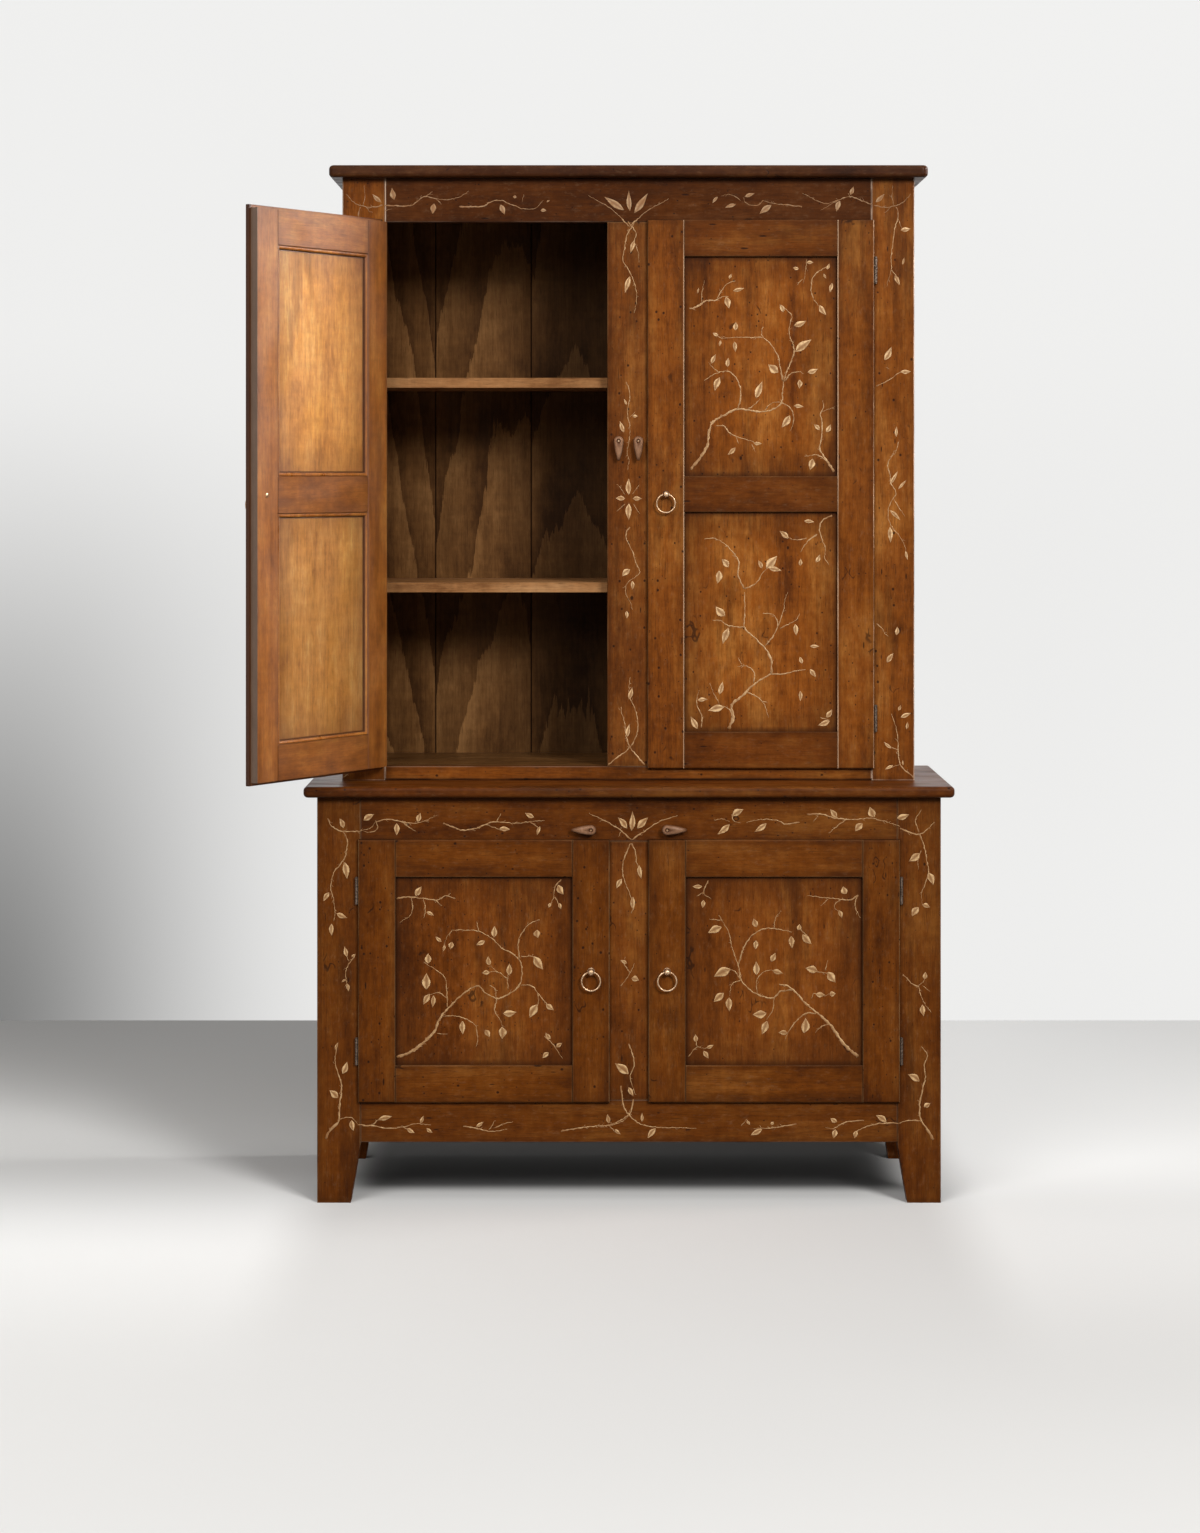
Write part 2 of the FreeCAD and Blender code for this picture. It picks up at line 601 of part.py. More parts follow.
def base_case():
    """Legs, rails, sides, floor, shelf, back and worktop of the deep lower part."""
    bottom_rail = (FLOOR_CLEARANCE, BASE_OPENING_Z[0])
    top_rail = (BASE_OPENING_Z[1], BASE_TOP)
    low, high, centre, mortises = face_frame(LEG_INNER, BASE_FRONT, bottom_rail, top_rail)
    leg_y = (BASE_FRONT, BASE_FRONT + LEG_DEPTH)
    case_z = (FLOOR_CLEARANCE, BASE_TOP)
    side = block((BASE_SIDE_INNER, BASE_SIDE_OUTER), grown((leg_y[1], -leg_y[1]), SIDE_TONGUE), case_z)
    front_leg = leg_blank().cut(side)
    for mortise in mortises:
        front_leg = front_leg.cut(mortise)
    for fitting in door_hinges(BASE_OPENING_X, BASE_OPENING_Z, BASE_FRONT):
        front_leg = front_leg.cut(fitting["frame_recess"])
    rear_leg = leg_blank().mirror(Vector(0, 0, 0), Vector(0, 1, 0)).cut(side)
    rear_leg = rear_leg.cut(block((LEG_INNER, LEG_INNER + BACK_REBATE), (BACK_BOARD_FACE, BACK), case_z))

    floor_z = (bottom_rail[1] - SHELF_THICKNESS, bottom_rail[1])
    floor_half = BASE_SIDE_INNER + HOUSING_DEPTH
    floor = block((-floor_half, floor_half), (BASE_FRONT + FRAME_THICKNESS, BACK_BOARD_FACE), floor_z)
    side = side.cut(floor)
    corner = block((LEG_INNER, BASE_HALF), leg_y, case_z)
    rear_corner = corner.mirror(Vector(0, 0, 0), Vector(0, 1, 0))
    for notch in both_sides(corner) + both_sides(rear_corner):
        floor = floor.cut(notch)

    shelf_half = BASE_SIDE_INNER - SHELF_PLAY
    shelf_y = (leg_y[1] + SHELF_SETBACK, BACK_BOARD_FACE)
    shelf = block((-shelf_half, shelf_half), shelf_y, (BASE_SHELF - SHELF_THICKNESS, BASE_SHELF))
    for notch in both_sides(rear_corner):
        shelf = shelf.cut(notch)

    screw_place, screw_front, _ = button_pivots()["lower"]
    for hole in both_sides(screw_hole(screw_place, screw_front)):
        high = high.cut(hole)
    return {
        "base_front_right_leg": front_leg,
        "base_front_left_leg": mirrored(front_leg),
        "base_rear_legs": Part.makeCompound(both_sides(rear_leg)),
        "base_bottom_rail": low,
        "base_top_rail": high,
        "base_centre_stile": centre,
        "base_right_side": side,
        "base_left_side": mirrored(side),
        "base_floor": floor,
        "base_shelf": shelf,
        "base_back_boards": back_boards(LEG_INNER + BACK_REBATE, case_z),
        "worktop": rounded_slab(
            BASE_HALF + WORKTOP_OVERHANG, BASE_FRONT - WORKTOP_OVERHANG, BACK, (BASE_TOP, WORKTOP_HEIGHT)
        ),
    }


def upper_case():
    """Stiles, rails, sides, floor, shelves, back and crown of the shallow upper part."""
    bottom_rail = (WORKTOP_HEIGHT, UPPER_OPENING_Z[0])
    top_rail = (UPPER_OPENING_Z[1], UPPER_TOP)
    low, high, centre, mortises = face_frame(UPPER_INNER, UPPER_FRONT, bottom_rail, top_rail)
    depth = (UPPER_FRONT, UPPER_FRONT + FRAME_THICKNESS)
    case_z = (WORKTOP_HEIGHT, UPPER_TOP)
    stile = upright((UPPER_INNER, UPPER_HALF), depth, case_z)
    for mortise in mortises:
        stile = stile.cut(mortise)
    for fitting in door_hinges(UPPER_OPENING_X, UPPER_OPENING_Z, UPPER_FRONT):
        stile = stile.cut(fitting["frame_recess"])

    side = block((UPPER_SIDE_INNER, UPPER_HALF), (depth[1], BACK), case_z)
    rebate = UPPER_SIDE_INNER + BACK_REBATE
    side = side.cut(block((UPPER_SIDE_INNER, rebate), (BACK_BOARD_FACE, BACK), case_z))
    floor_half = UPPER_SIDE_INNER + HOUSING_DEPTH
    floor_z = (bottom_rail[1] - SHELF_THICKNESS, bottom_rail[1])
    floor = block((-floor_half, floor_half), (depth[1], BACK_BOARD_FACE), floor_z)
    side = side.cut(floor)

    shelf_half = UPPER_SIDE_INNER - SHELF_PLAY
    shelf_y = (depth[1] + SHELF_SETBACK, BACK_BOARD_FACE)
    shelves = []
    for top in (LOW_SHELF, HIGH_SHELF):
        shelves.append(block((-shelf_half, shelf_half), shelf_y, (top - SHELF_THICKNESS, top)))
    screw_place, screw_front, _ = button_pivots()["upper"]
    for hole in both_sides(screw_hole(screw_place, screw_front)):
        centre = centre.cut(hole)
    return {
        "upper_right_stile": stile,
        "upper_left_stile": mirrored(stile),
        "upper_bottom_rail": low,
        "upper_top_rail": high,
        "upper_centre_stile": centre,
        "upper_right_side": side,
        "upper_left_side": mirrored(side),
        "upper_floor": floor,
        "upper_shelves": Part.makeCompound(shelves),
        "upper_back_boards": back_boards(rebate, case_z),
        "crown_board": rounded_slab(
            UPPER_HALF + CROWN_OVERHANG, UPPER_FRONT - CROWN_OVERHANG, BACK, (UPPER_TOP, OVERALL_HEIGHT)
        ),
    }


def shelf_cleats():
    """Battens on the sides under the three shelves."""
    upper_y = (UPPER_FRONT + FRAME_THICKNESS + SHELF_SETBACK, BACK_BOARD_FACE)
    base_y = (BASE_FRONT + LEG_DEPTH + SHELF_SETBACK, -BASE_FRONT - LEG_DEPTH)
    places = [
        (UPPER_SIDE_INNER, upper_y, LOW_SHELF), (UPPER_SIDE_INNER, upper_y, HIGH_SHELF),
        (BASE_SIDE_INNER, base_y, BASE_SHELF),
    ]
    cleats = []
    for inner, y, top in places:
        under = top - SHELF_THICKNESS
        cleats += both_sides(block((inner - CLEAT_SECTION, inner), y, (under - CLEAT_SECTION, under)))
    return Part.makeCompound(cleats)


def opened(shape):
    """An upper left piece swung out with its door."""
    axis = hinge_axis(UPPER_OPENING_X, UPPER_FRONT)
    turned_out = shape.copy()
    turned_out.rotate(Vector(-axis[0], axis[1], 0), Vector(0, 0, 1), -OPEN_ANGLE)
    return turned_out


def build():
    """Every node of the cupboard by name."""
    nodes = {**base_case(), **upper_case(), "shelf_cleats": shelf_cleats()}
    openings = {
        "upper": (UPPER_OPENING_X, UPPER_OPENING_Z, UPPER_FRONT),
        "lower": (BASE_OPENING_X, BASE_OPENING_Z, BASE_FRONT),
    }
    frame_leaves, pins, screws, spacers = [], [], [], []
    for level, (x, z, front) in openings.items():
        for fitting in door_hinges(x, z, front):
            frame_leaves += both_sides(fitting["frame_leaf"])
            pins += both_sides(fitting["pin"])
        pieces = door(x, z, front, level == "upper")
        pieces["pull_ring"] = pull_ring((PULL_X, middle(z)), front - LIP_GAP - LIP_THICKNESS)
        for name, shape in pieces.items():
            nodes[f"{level}_right_door_{name}"] = shape
            left = mirrored(shape)
            nodes[f"{level}_left_door_{name}"] = opened(left) if level == "upper" else left
        pivot, face, drop = button_pivots()[level]
        button = turn_button(pivot, face, drop)
        nodes[f"{level}_right_turn_button"] = button
        nodes[f"{level}_left_turn_button"] = mirrored(button)
        screws += both_sides(button_screw(pivot, face))
        spacers += both_sides(button_spacer(pivot, face))
    nodes["hinge_frame_leaves"] = Part.makeCompound(frame_leaves)
    nodes["hinge_pins"] = Part.makeCompound(pins)
    nodes["turn_button_screws"] = Part.makeCompound(screws)
    nodes["turn_button_spacers"] = Part.makeCompound(spacers)
    return nodes


def main():
    os.makedirs("parts", exist_ok=True)
    for name, shape in build().items():
        shape.exportStep(f"parts/{name}.step")


if __name__ == "__main__":
    main()
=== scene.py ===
"""Looks of the painted two-part cupboard: glazed wood, painted vines, brass pulls and turn buttons."""
import json
import math
import random

import bmesh
import bpy
from mathutils import Matrix, Vector


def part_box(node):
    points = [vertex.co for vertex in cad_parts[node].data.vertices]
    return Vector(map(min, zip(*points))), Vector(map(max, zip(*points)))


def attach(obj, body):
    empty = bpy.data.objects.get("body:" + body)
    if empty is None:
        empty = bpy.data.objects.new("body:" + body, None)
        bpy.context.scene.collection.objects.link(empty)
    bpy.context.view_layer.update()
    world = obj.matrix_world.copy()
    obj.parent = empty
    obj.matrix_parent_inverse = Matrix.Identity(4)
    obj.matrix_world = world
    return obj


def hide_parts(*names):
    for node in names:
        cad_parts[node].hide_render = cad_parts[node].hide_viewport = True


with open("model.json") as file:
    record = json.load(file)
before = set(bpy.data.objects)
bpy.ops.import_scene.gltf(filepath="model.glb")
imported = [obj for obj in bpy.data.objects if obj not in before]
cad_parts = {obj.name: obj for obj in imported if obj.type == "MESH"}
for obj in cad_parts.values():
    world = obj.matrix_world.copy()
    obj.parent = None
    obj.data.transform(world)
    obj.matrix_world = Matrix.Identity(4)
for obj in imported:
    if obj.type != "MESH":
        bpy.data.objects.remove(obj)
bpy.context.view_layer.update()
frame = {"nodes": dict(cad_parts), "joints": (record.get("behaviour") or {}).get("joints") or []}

NODES = frame["nodes"]
JOINTS = {joint["name"]: joint for joint in frame["joints"]}
chance = random.Random(7)

# Lines of the construction, in metres
UPPER_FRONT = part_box("upper_right_stile")[0].y
BASE_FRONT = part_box("base_front_right_leg")[0].y
UPPER_OPENING_X = 0.496
UPPER_OPENING_Z = (0.8625, 1.9715)
BASE_OPENING_X = 0.537
BASE_OPENING_Z = (0.206, 0.723)
LIP_BACK = 0.0004
REBATE = 0.0060
DOOR_MIDDLE = 0.0021
PANEL_FACE = 0.0024
DOOR_RAIL = 0.075
DOOR_MIDDLE_RAIL = 0.073
CENTRE_STILE = 0.043
BOARD_WIDTH = 0.2045
OPEN_ANGLE = math.radians(120)
OPEN_PIN = Vector(JOINTS["upper_left_door_hinge"]["pos_m"])

# The photograph's size in pixels and its camera
PHOTO_WIDTH, PHOTO_HEIGHT = 1200.0, 1533.0
SENSOR = 36.0
CAMERA = Vector((-0.064, -7.171, 1.452))
FOCAL_PIXELS = 3462.0
VANISHING = (597.0, 477.0)

# Ring pulls: the ring and its wire, the ball of its post and how far that stands off the door, the eye in it
RING_RADIUS = 0.0187
RING_WIRE = 0.0018
BALL_RADIUS = 0.0072
BALL_STANDOFF = 0.011
EYE_RADIUS = 0.0038
EYE_REACH = 0.012
DOOR_THICKNESS = 0.025
# The post as radius and place along it: rivet behind the door, shank and rose, then the ball, which starts at
# one angle in degrees and goes on by equal steps
RIVET = ((0.0004, 0.002), (0.003, 0.0018), (0.0046, 0.001), (0.005, 0.0))
SHANK = 0.0025
ROSE = ((0.0075, BALL_STANDOFF), (0.0072, 0.0102), (0.0056, 0.0094), (0.0038, 0.0089), (0.0034, 0.0080))
BALL_START, BALL_STEP, BALL_STEPS = 62, 12.4, 13
BALL_POLE = 0.0003
# Steps round the post, the ring, its wire and the eye
POST_STEPS, RING_STEPS, WIRE_STEPS, EYE_STEPS = 32, 64, 16, 24

# Turn buttons: round end, tip and flank, screw hole and its seat, then the dome as shares of the outline and
# of the thickness, and how pale it is there: pale on its crest, with painted shade towards its rim and in
# its bore
BUTTON_HALF = 0.01075
BUTTON_REACH = 0.040
BUTTON_TIP = 0.0034
BUTTON_BULGE = 0.0012
BUTTON_BORE = 0.0021
BUTTON_SEAT = 0.0037
BUTTON_SINK = 0.0015
BUTTON_TAPER = 0.35
BUTTON_DOME = ((0.90, 0.0, 0.0), (0.97, 0.10, 0.0), (1.0, 0.30, 0.05), (0.97, 0.50, 0.2),
               (0.90, 0.68, 0.45), (0.79, 0.83, 0.75), (0.65, 0.93, 1.0), (0.50, 0.99, 0.9))
BORE_PALE = 0.2
END_STEPS, TIP_STEPS, FLANK_STEPS = 24, 6, 8

# Enlarged windows on the photograph, in which the vines are given: left and top in its pixels, enlargement
WINDOWS = {
    "upper_right": (600, 150, 4.3556),
    "middle_right": (600, 450, 4.3556),
    "base_left": (290, 750, 3.337),
    "base_right": (600, 750, 3.3362),
    "top_left": (380, 160, 8.711),
}

# Painted stems, by what carries them and by window: width at the root and at the tip in millimetres, then
# points across and down the window
STEMS = {
    "upper_case": {
        "upper_right": (
            (3, 1, (880, 246), (800, 238), (745, 232), (712, 218)),
            (2.5, 0.8, (712, 218), (690, 240), (650, 238), (628, 222), (624, 205)),
            (2, 0.8, (612, 222), (590, 203), (560, 194), (528, 202)),
            (3, 1, (1182, 236), (1140, 222), (1090, 205), (1040, 216), (985, 234), (940, 220), (905, 200),
             (880, 190)), (2, 0.8, (1040, 216), (1000, 240), (962, 262)), (2, 0.8, (1090, 205), (1080, 190)),
            (3, 1.2, (128, 335), (165, 300), (210, 262), (260, 235), (298, 212)),
            (3, 1.2, (128, 335), (85, 290), (40, 250), (-10, 222), (-51, 198)),
            (3, 1.2, (150, 320), (118, 370), (108, 420), (100, 480), (130, 530), (150, 580), (160, 640),
             (150, 710)), (2.5, 1, (122, 310), (155, 360), (150, 400), (165, 440), (170, 490)),
            (2.5, 1, (115, 1010), (130, 1060), (125, 1100), (120, 1150), (130, 1200), (128, 1260),
             (118, 1310), (125, 1350), (120, 1395)), (1.5, 0.8, (130, 1165), (152, 1140)),
        ),
        "middle_right": (
            (1.5, 0.8, (108, 195), (75, 148)), (1.5, 0.8, (140, 195), (170, 150)),
            (1.5, 0.8, (108, 235), (72, 268)), (1.5, 0.8, (142, 232), (172, 278)),
            (3, 1, (130, 335), (112, 360), (120, 400), (140, 440), (155, 490), (172, 530), (150, 555),
             (120, 580), (110, 620), (130, 660), (140, 695)),
            (3.5, 1.2, (35, 1372), (80, 1335), (130, 1295), (160, 1240), (165, 1180), (150, 1120),
             (130, 1080), (125, 1040), (132, 990)),
            (3.5, 1.2, (195, 1372), (165, 1335), (130, 1295), (112, 1245), (108, 1190), (95, 1150),
             (92, 1120)),
        ),
        "top_left": (
            (3.5, 1, (40, 392), (120, 398), (260, 398), (330, 355), (400, 318), (470, 335), (560, 345),
             (660, 335), (730, 300), (775, 270)), (2, 0.8, (40, 445), (110, 425)),
            (2.5, 1, (400, 318), (460, 272)), (2, 0.8, (500, 345), (535, 390)),
            (4, 1, (690, 405), (760, 408), (890, 405), (960, 370), (1050, 350), (1110, 375), (1180, 400),
             (1230, 425), (1350, 418), (1420, 350)), (1.5, 0.8, (1235, 365), (1255, 300)),
        ),
    },
    "upper_right_stile": {
        "upper_right": (
            (3, 1, (1195, 240), (1235, 248), (1280, 245), (1320, 228), (1352, 192)),
            (3, 1.2, (1290, 248), (1300, 285), (1285, 340), (1275, 400), (1268, 470), (1270, 520),
             (1255, 570), (1250, 595)), (2, 0.8, (1278, 240), (1272, 200), (1276, 155)),
            (2, 0.8, (1268, 520), (1290, 550), (1300, 580)),
            (1.8, 0.8, (1300, 300), (1310, 330), (1320, 345)),
            (1.5, 0.8, (1265, 248), (1250, 268), (1238, 272)),
            (3, 1, (1202, 1028), (1255, 1005), (1295, 975), (1330, 962)),
            (1.5, 0.8, (1260, 955), (1245, 945)), (2, 0.8, (1300, 1270), (1290, 1310), (1262, 1345)),
        ),
        "middle_right": (
            (3, 1, (1280, 10), (1255, 60), (1262, 110), (1270, 150), (1290, 190), (1268, 225),
             (1255, 270), (1262, 320), (1300, 370), (1325, 410), (1332, 440)),
            (2, 0.8, (1280, 215), (1330, 290)), (2, 1, (1202, 757), (1228, 778), (1242, 800), (1255, 812)),
            (3.5, 1.2, (1366, 1425), (1330, 1395), (1305, 1365), (1300, 1310), (1298, 1250), (1285, 1190),
             (1270, 1150)), (2, 0.8, (1302, 1310), (1270, 1295), (1240, 1285)),
            (2, 0.8, (1305, 1370), (1275, 1380), (1245, 1388)),
        ),
    },
    "upper_door": {
        "upper_right": (
            (6, 3, (395, 1392), (430, 1350), (465, 1290), (475, 1230), (490, 1190), (540, 1155),
             (600, 1130), (660, 1135), (715, 1140), (760, 1125), (790, 1100), (795, 1050), (800, 1010)),
            (4, 1.5, (800, 1010), (815, 965), (838, 905), (845, 860), (825, 805), (828, 760), (835, 720),
             (815, 700), (800, 685)),
            (4, 1.5, (798, 1005), (785, 950), (775, 900), (745, 850), (708, 812), (705, 790), (710, 770)),
            (3, 1, (708, 818), (650, 818), (590, 815), (530, 820), (500, 800)),
            (4.5, 1.5, (600, 1130), (612, 1080), (610, 1030), (590, 990), (560, 965), (520, 968),
             (480, 985), (455, 1005)), (2, 0.8, (520, 968), (490, 945), (472, 925)),
            (3, 1, (805, 1005), (830, 975), (865, 965), (885, 975)),
            (3, 1, (790, 1100), (825, 1120), (842, 1155), (840, 1200), (828, 1225)),
            (2.5, 1, (715, 1140), (735, 1110), (765, 1098), (790, 1102)),
            (3, 1, (645, 1130), (670, 1110), (698, 1085)),
            (3.5, 1, (505, 1200), (540, 1205), (560, 1230), (595, 1250), (640, 1262), (690, 1280)),
            (2, 0.8, (595, 1250), (605, 1280)), (2, 0.8, (660, 1280), (680, 1318)),
            (5, 1.5, (388, 690), (420, 685), (455, 660), (500, 655), (535, 640), (560, 640)),
            (2.5, 1, (445, 665), (445, 620), (455, 570)),
            (3, 1, (510, 650), (530, 610), (560, 580), (590, 572)),
            (3.5, 1.2, (990, 510), (950, 530), (925, 560), (918, 610), (930, 650), (955, 680)),
            (2, 0.8, (900, 475), (895, 530), (885, 580)), (2, 0.8, (885, 560), (858, 590)),
            (5, 1.5, (1020, 1400), (985, 1350), (958, 1300), (965, 1240), (965, 1180), (960, 1150),
             (975, 1120), (970, 1090)), (2, 0.8, (965, 1140), (1000, 1128), (1022, 1118)),
            (3, 1, (1000, 1365), (950, 1330), (890, 1335)),
        ),
        "middle_right": (
            (7, 3, (560, 1215), (580, 1170), (575, 1110), (620, 1070), (670, 1020), (745, 975)),
            (5, 2, (745, 975), (745, 920), (730, 880), (710, 855), (670, 815), (630, 775), (630, 700),
             (628, 620)),
            (4, 1.5, (628, 605), (600, 540), (605, 490), (575, 440), (530, 400), (490, 385), (455, 388)),
            (3.5, 1.2, (630, 605), (680, 580), (705, 540), (730, 510)),
            (3.5, 1.2, (628, 772), (585, 770), (545, 758), (530, 745), (490, 742)),
            (4, 1.5, (715, 855), (755, 810), (775, 760), (760, 725), (740, 712), (710, 712)),
            (3, 1, (775, 770), (800, 700), (805, 650), (818, 618)),
            (3, 1, (785, 775), (830, 755), (855, 740), (870, 712)),
            (4, 1.5, (745, 975), (800, 975), (850, 962), (895, 955)),
            (3.5, 1, (672, 1015), (670, 970), (640, 940), (598, 942)), (2, 0.8, (620, 938), (600, 905)),
            (4, 1, (640, 1055), (690, 1080), (715, 1110), (735, 1165)), (2, 0.8, (705, 1095), (730, 1100)),
            (4, 1.5, (578, 1165), (565, 1130), (535, 1115)),
            (3, 1, (440, 1210), (445, 1160), (425, 1120), (420, 1080), (432, 1045)),
            (2, 0.8, (520, 1105), (495, 1060), (478, 1015)),
            (4, 1.2, (1010, 285), (970, 305), (955, 340), (965, 385), (980, 430), (978, 470), (995, 500)),
            (4, 1.2, (945, 365), (905, 400), (872, 445)), (3, 1, (900, 385), (850, 392), (810, 375)),
            (2, 0.8, (960, 1165), (1000, 1175)),
        ),
    },
    "base_case": {
        "base_left": (
            (4, 1.2, (125, 228), (140, 255), (175, 272), (235, 270), (270, 258), (285, 240)),
            (3.5, 1, (285, 240), (330, 232), (370, 240), (415, 245), (450, 235), (490, 218)),
            (2.5, 1, (285, 235), (292, 262), (270, 275), (245, 272)),
            (2.5, 1, (375, 240), (400, 262), (420, 272)),
            (4, 1.2, (510, 245), (545, 258), (575, 268), (620, 262), (660, 245), (700, 240), (750, 245),
             (800, 240), (850, 235)), (3, 1, (620, 262), (650, 250), (690, 262), (720, 272)),
            (2.5, 1, (690, 238), (705, 212)), (2.5, 1, (800, 238), (830, 262), (828, 280)),
            (3.5, 1.2, (175, 272), (190, 300), (185, 350), (165, 385), (145, 410), (135, 460), (145, 500),
             (150, 545), (145, 570)), (2.5, 1, (215, 690), (195, 715), (185, 750), (192, 800)),
            (2, 0.8, (195, 705), (180, 665)),
            (5, 1.5, (118, 1298), (135, 1265), (160, 1240), (165, 1180), (172, 1120), (160, 1080),
             (150, 1040), (155, 990)), (3, 1, (160, 1232), (200, 1225), (225, 1245)),
            (4, 1.2, (225, 1250), (280, 1255), (330, 1262), (380, 1258), (420, 1248), (470, 1252)),
            (3, 1, (275, 1250), (300, 1228)), (2.5, 1, (375, 1258), (405, 1275)),
            (4, 1.2, (578, 1255), (620, 1262), (670, 1272), (725, 1265)), (2.5, 1, (620, 1262), (640, 1240)),
            (2.5, 1, (665, 1268), (685, 1235)), (3, 1, (680, 1262), (715, 1248), (745, 1240)),
            (4.5, 1.2, (905, 1272), (960, 1262), (1020, 1255), (1070, 1252), (1120, 1232), (1135, 1200)),
            (2.5, 1, (1065, 1250), (1085, 1275)),
        ),
        "base_right": (
            (4, 1.2, (105, 300), (150, 270), (200, 238), (258, 218)),
            (4, 1.2, (105, 300), (60, 262), (10, 234), (-36, 212)), (2, 0.8, (70, 272), (62, 290)),
            (3, 1.2, (102, 312), (85, 350), (75, 385), (80, 430), (95, 470), (110, 510), (105, 545)),
            (3, 1.2, (105, 312), (118, 340), (122, 375), (135, 410)),
            (2.5, 1, (68, 788), (90, 760), (105, 735), (115, 712)),
            (2.5, 1, (100, 745), (80, 710), (85, 690)),
            (3.5, 1.2, (95, 980), (110, 1020), (112, 1060), (100, 1085), (108, 1120), (118, 1150)),
            (3.5, 1.2, (112, 1165), (100, 1210), (60, 1240), (0, 1258)),
            (4, 1.2, (70, 1120), (75, 1170), (90, 1210), (130, 1245), (190, 1258), (250, 1260), (322, 1262)),
            (2.5, 1, (380, 235), (410, 230), (432, 240)), (2.5, 1, (440, 215), (445, 235), (470, 245)),
            (3.5, 1, (665, 240), (620, 248), (590, 235), (540, 232), (488, 240)),
            (4, 1.2, (690, 215), (740, 215), (790, 228), (850, 232), (900, 228), (950, 238), (1000, 255)),
            (3, 1, (820, 232), (790, 255), (762, 278)), (2, 0.8, (728, 215), (712, 240)),
            (4.5, 1.5, (1000, 262), (1040, 278), (1075, 278), (1115, 240)),
            (3.5, 1.2, (1065, 275), (1052, 235), (1072, 200)),
            (3.5, 1.2, (1068, 280), (1080, 320), (1090, 370), (1095, 410), (1085, 445), (1072, 480),
             (1075, 520)), (2.5, 1, (1070, 335), (1060, 370), (1062, 400)),
            (3.5, 1.2, (1010, 748), (1040, 780), (1062, 790), (1070, 820), (1085, 850), (1105, 875)),
            (2.5, 1, (1055, 790), (1078, 775), (1088, 750)), (2, 0.8, (1075, 785), (1100, 805)),
            (5, 1.5, (1112, 1300), (1090, 1265), (1070, 1235), (1065, 1190), (1075, 1130), (1085, 1090),
             (1080, 1050), (1092, 1020), (1072, 988)), (3.5, 1.2, (1072, 1238), (1030, 1235), (995, 1245)),
            (3.5, 1, (655, 1248), (610, 1255), (560, 1262), (510, 1262)), (2, 0.8, (470, 1255), (490, 1230)),
            (4, 1.2, (995, 1245), (940, 1245), (890, 1255), (850, 1275)),
            (3.5, 1, (880, 1235), (820, 1242), (780, 1262), (752, 1258)),
        ),
    },
    "lower_left_door": {
        "base_left": (
            (7, 3.5, (355, 1025), (400, 1010), (440, 980), (480, 940), (500, 895), (530, 860), (565, 825),
             (605, 795)),
            (4, 2, (605, 795), (630, 788), (650, 810), (690, 830), (730, 815), (765, 785), (775, 740),
             (768, 705), (740, 680), (705, 660), (675, 630), (630, 605), (580, 600), (540, 600)),
            (2.5, 1, (665, 785), (685, 800), (688, 830)),
            (4, 1.5, (765, 700), (760, 650), (770, 615), (800, 580), (835, 565)),
            (3.5, 1.2, (525, 860), (522, 800), (515, 760), (480, 730), (445, 710)),
            (3, 1, (525, 830), (495, 810), (462, 820)), (3, 1, (770, 690), (810, 690), (835, 705)),
            (3.5, 1.2, (770, 785), (800, 785), (820, 800), (830, 830), (825, 870)),
            (2.5, 1, (825, 810), (850, 840), (870, 860)),
            (3, 1, (690, 830), (682, 870), (700, 900), (710, 930)),
            (3.5, 1, (515, 888), (550, 888), (590, 900), (620, 925), (625, 970), (620, 990)),
            (2, 0.8, (490, 945), (525, 950)), (3, 1, (728, 800), (725, 760), (728, 720)),
            (2.5, 1, (725, 765), (690, 740), (655, 742)), (2.5, 1, (690, 742), (665, 715)),
            (2.5, 1, (630, 605), (622, 570)), (2.5, 1, (540, 600), (520, 630), (512, 660)),
            (4.5, 1.5, (355, 495), (400, 490), (440, 495), (490, 500), (520, 488), (552, 495)),
            (3, 1, (405, 492), (405, 545), (365, 575)), (3, 1, (445, 497), (452, 535), (445, 560)),
            (3, 1, (485, 502), (505, 520)), (2, 0.8, (520, 490), (535, 478)),
            (3, 1, (905, 432), (885, 455), (880, 490), (865, 525)), (2.5, 1, (885, 490), (905, 530)),
            (2.5, 1, (850, 955), (880, 985), (910, 1030)),
        ),
    },
    "lower_right_door": {
        "base_right": (
            (7, 3.5, (860, 1022), (820, 990), (790, 950), (765, 915), (720, 875), (680, 840), (650, 805),
             (620, 785), (598, 782)),
            (4.5, 1.5, (640, 800), (600, 805), (580, 825), (540, 822), (500, 800), (470, 765), (462, 720),
             (440, 660), (430, 610), (410, 575), (395, 550)), (2.5, 1, (410, 568), (365, 565)),
            (4, 1.5, (462, 715), (478, 660), (505, 620), (545, 598), (590, 598), (640, 608)),
            (3, 1, (580, 595), (585, 560), (605, 535)), (3, 1, (470, 768), (440, 780), (432, 820)),
            (3, 1, (468, 765), (445, 735), (405, 738)),
            (3, 1, (525, 815), (522, 770), (545, 740), (590, 732)),
            (4, 1.2, (720, 880), (685, 880), (650, 910), (625, 945), (618, 970)),
            (3, 1, (765, 915), (735, 925), (718, 945)), (3, 1, (580, 825), (575, 870), (555, 900)),
            (3, 1, (660, 590), (680, 610), (700, 630)), (2.5, 1, (690, 730), (730, 740), (760, 745)),
            (2.5, 1, (750, 735), (760, 700)), (2.5, 1, (705, 830), (712, 812), (740, 818)),
            (2, 0.8, (745, 822), (765, 812)), (3, 1, (362, 435), (345, 475), (370, 498)),
            (2.5, 1, (345, 475), (322, 488)),
            (4, 1.2, (862, 485), (830, 500), (780, 495), (730, 490), (690, 485)),
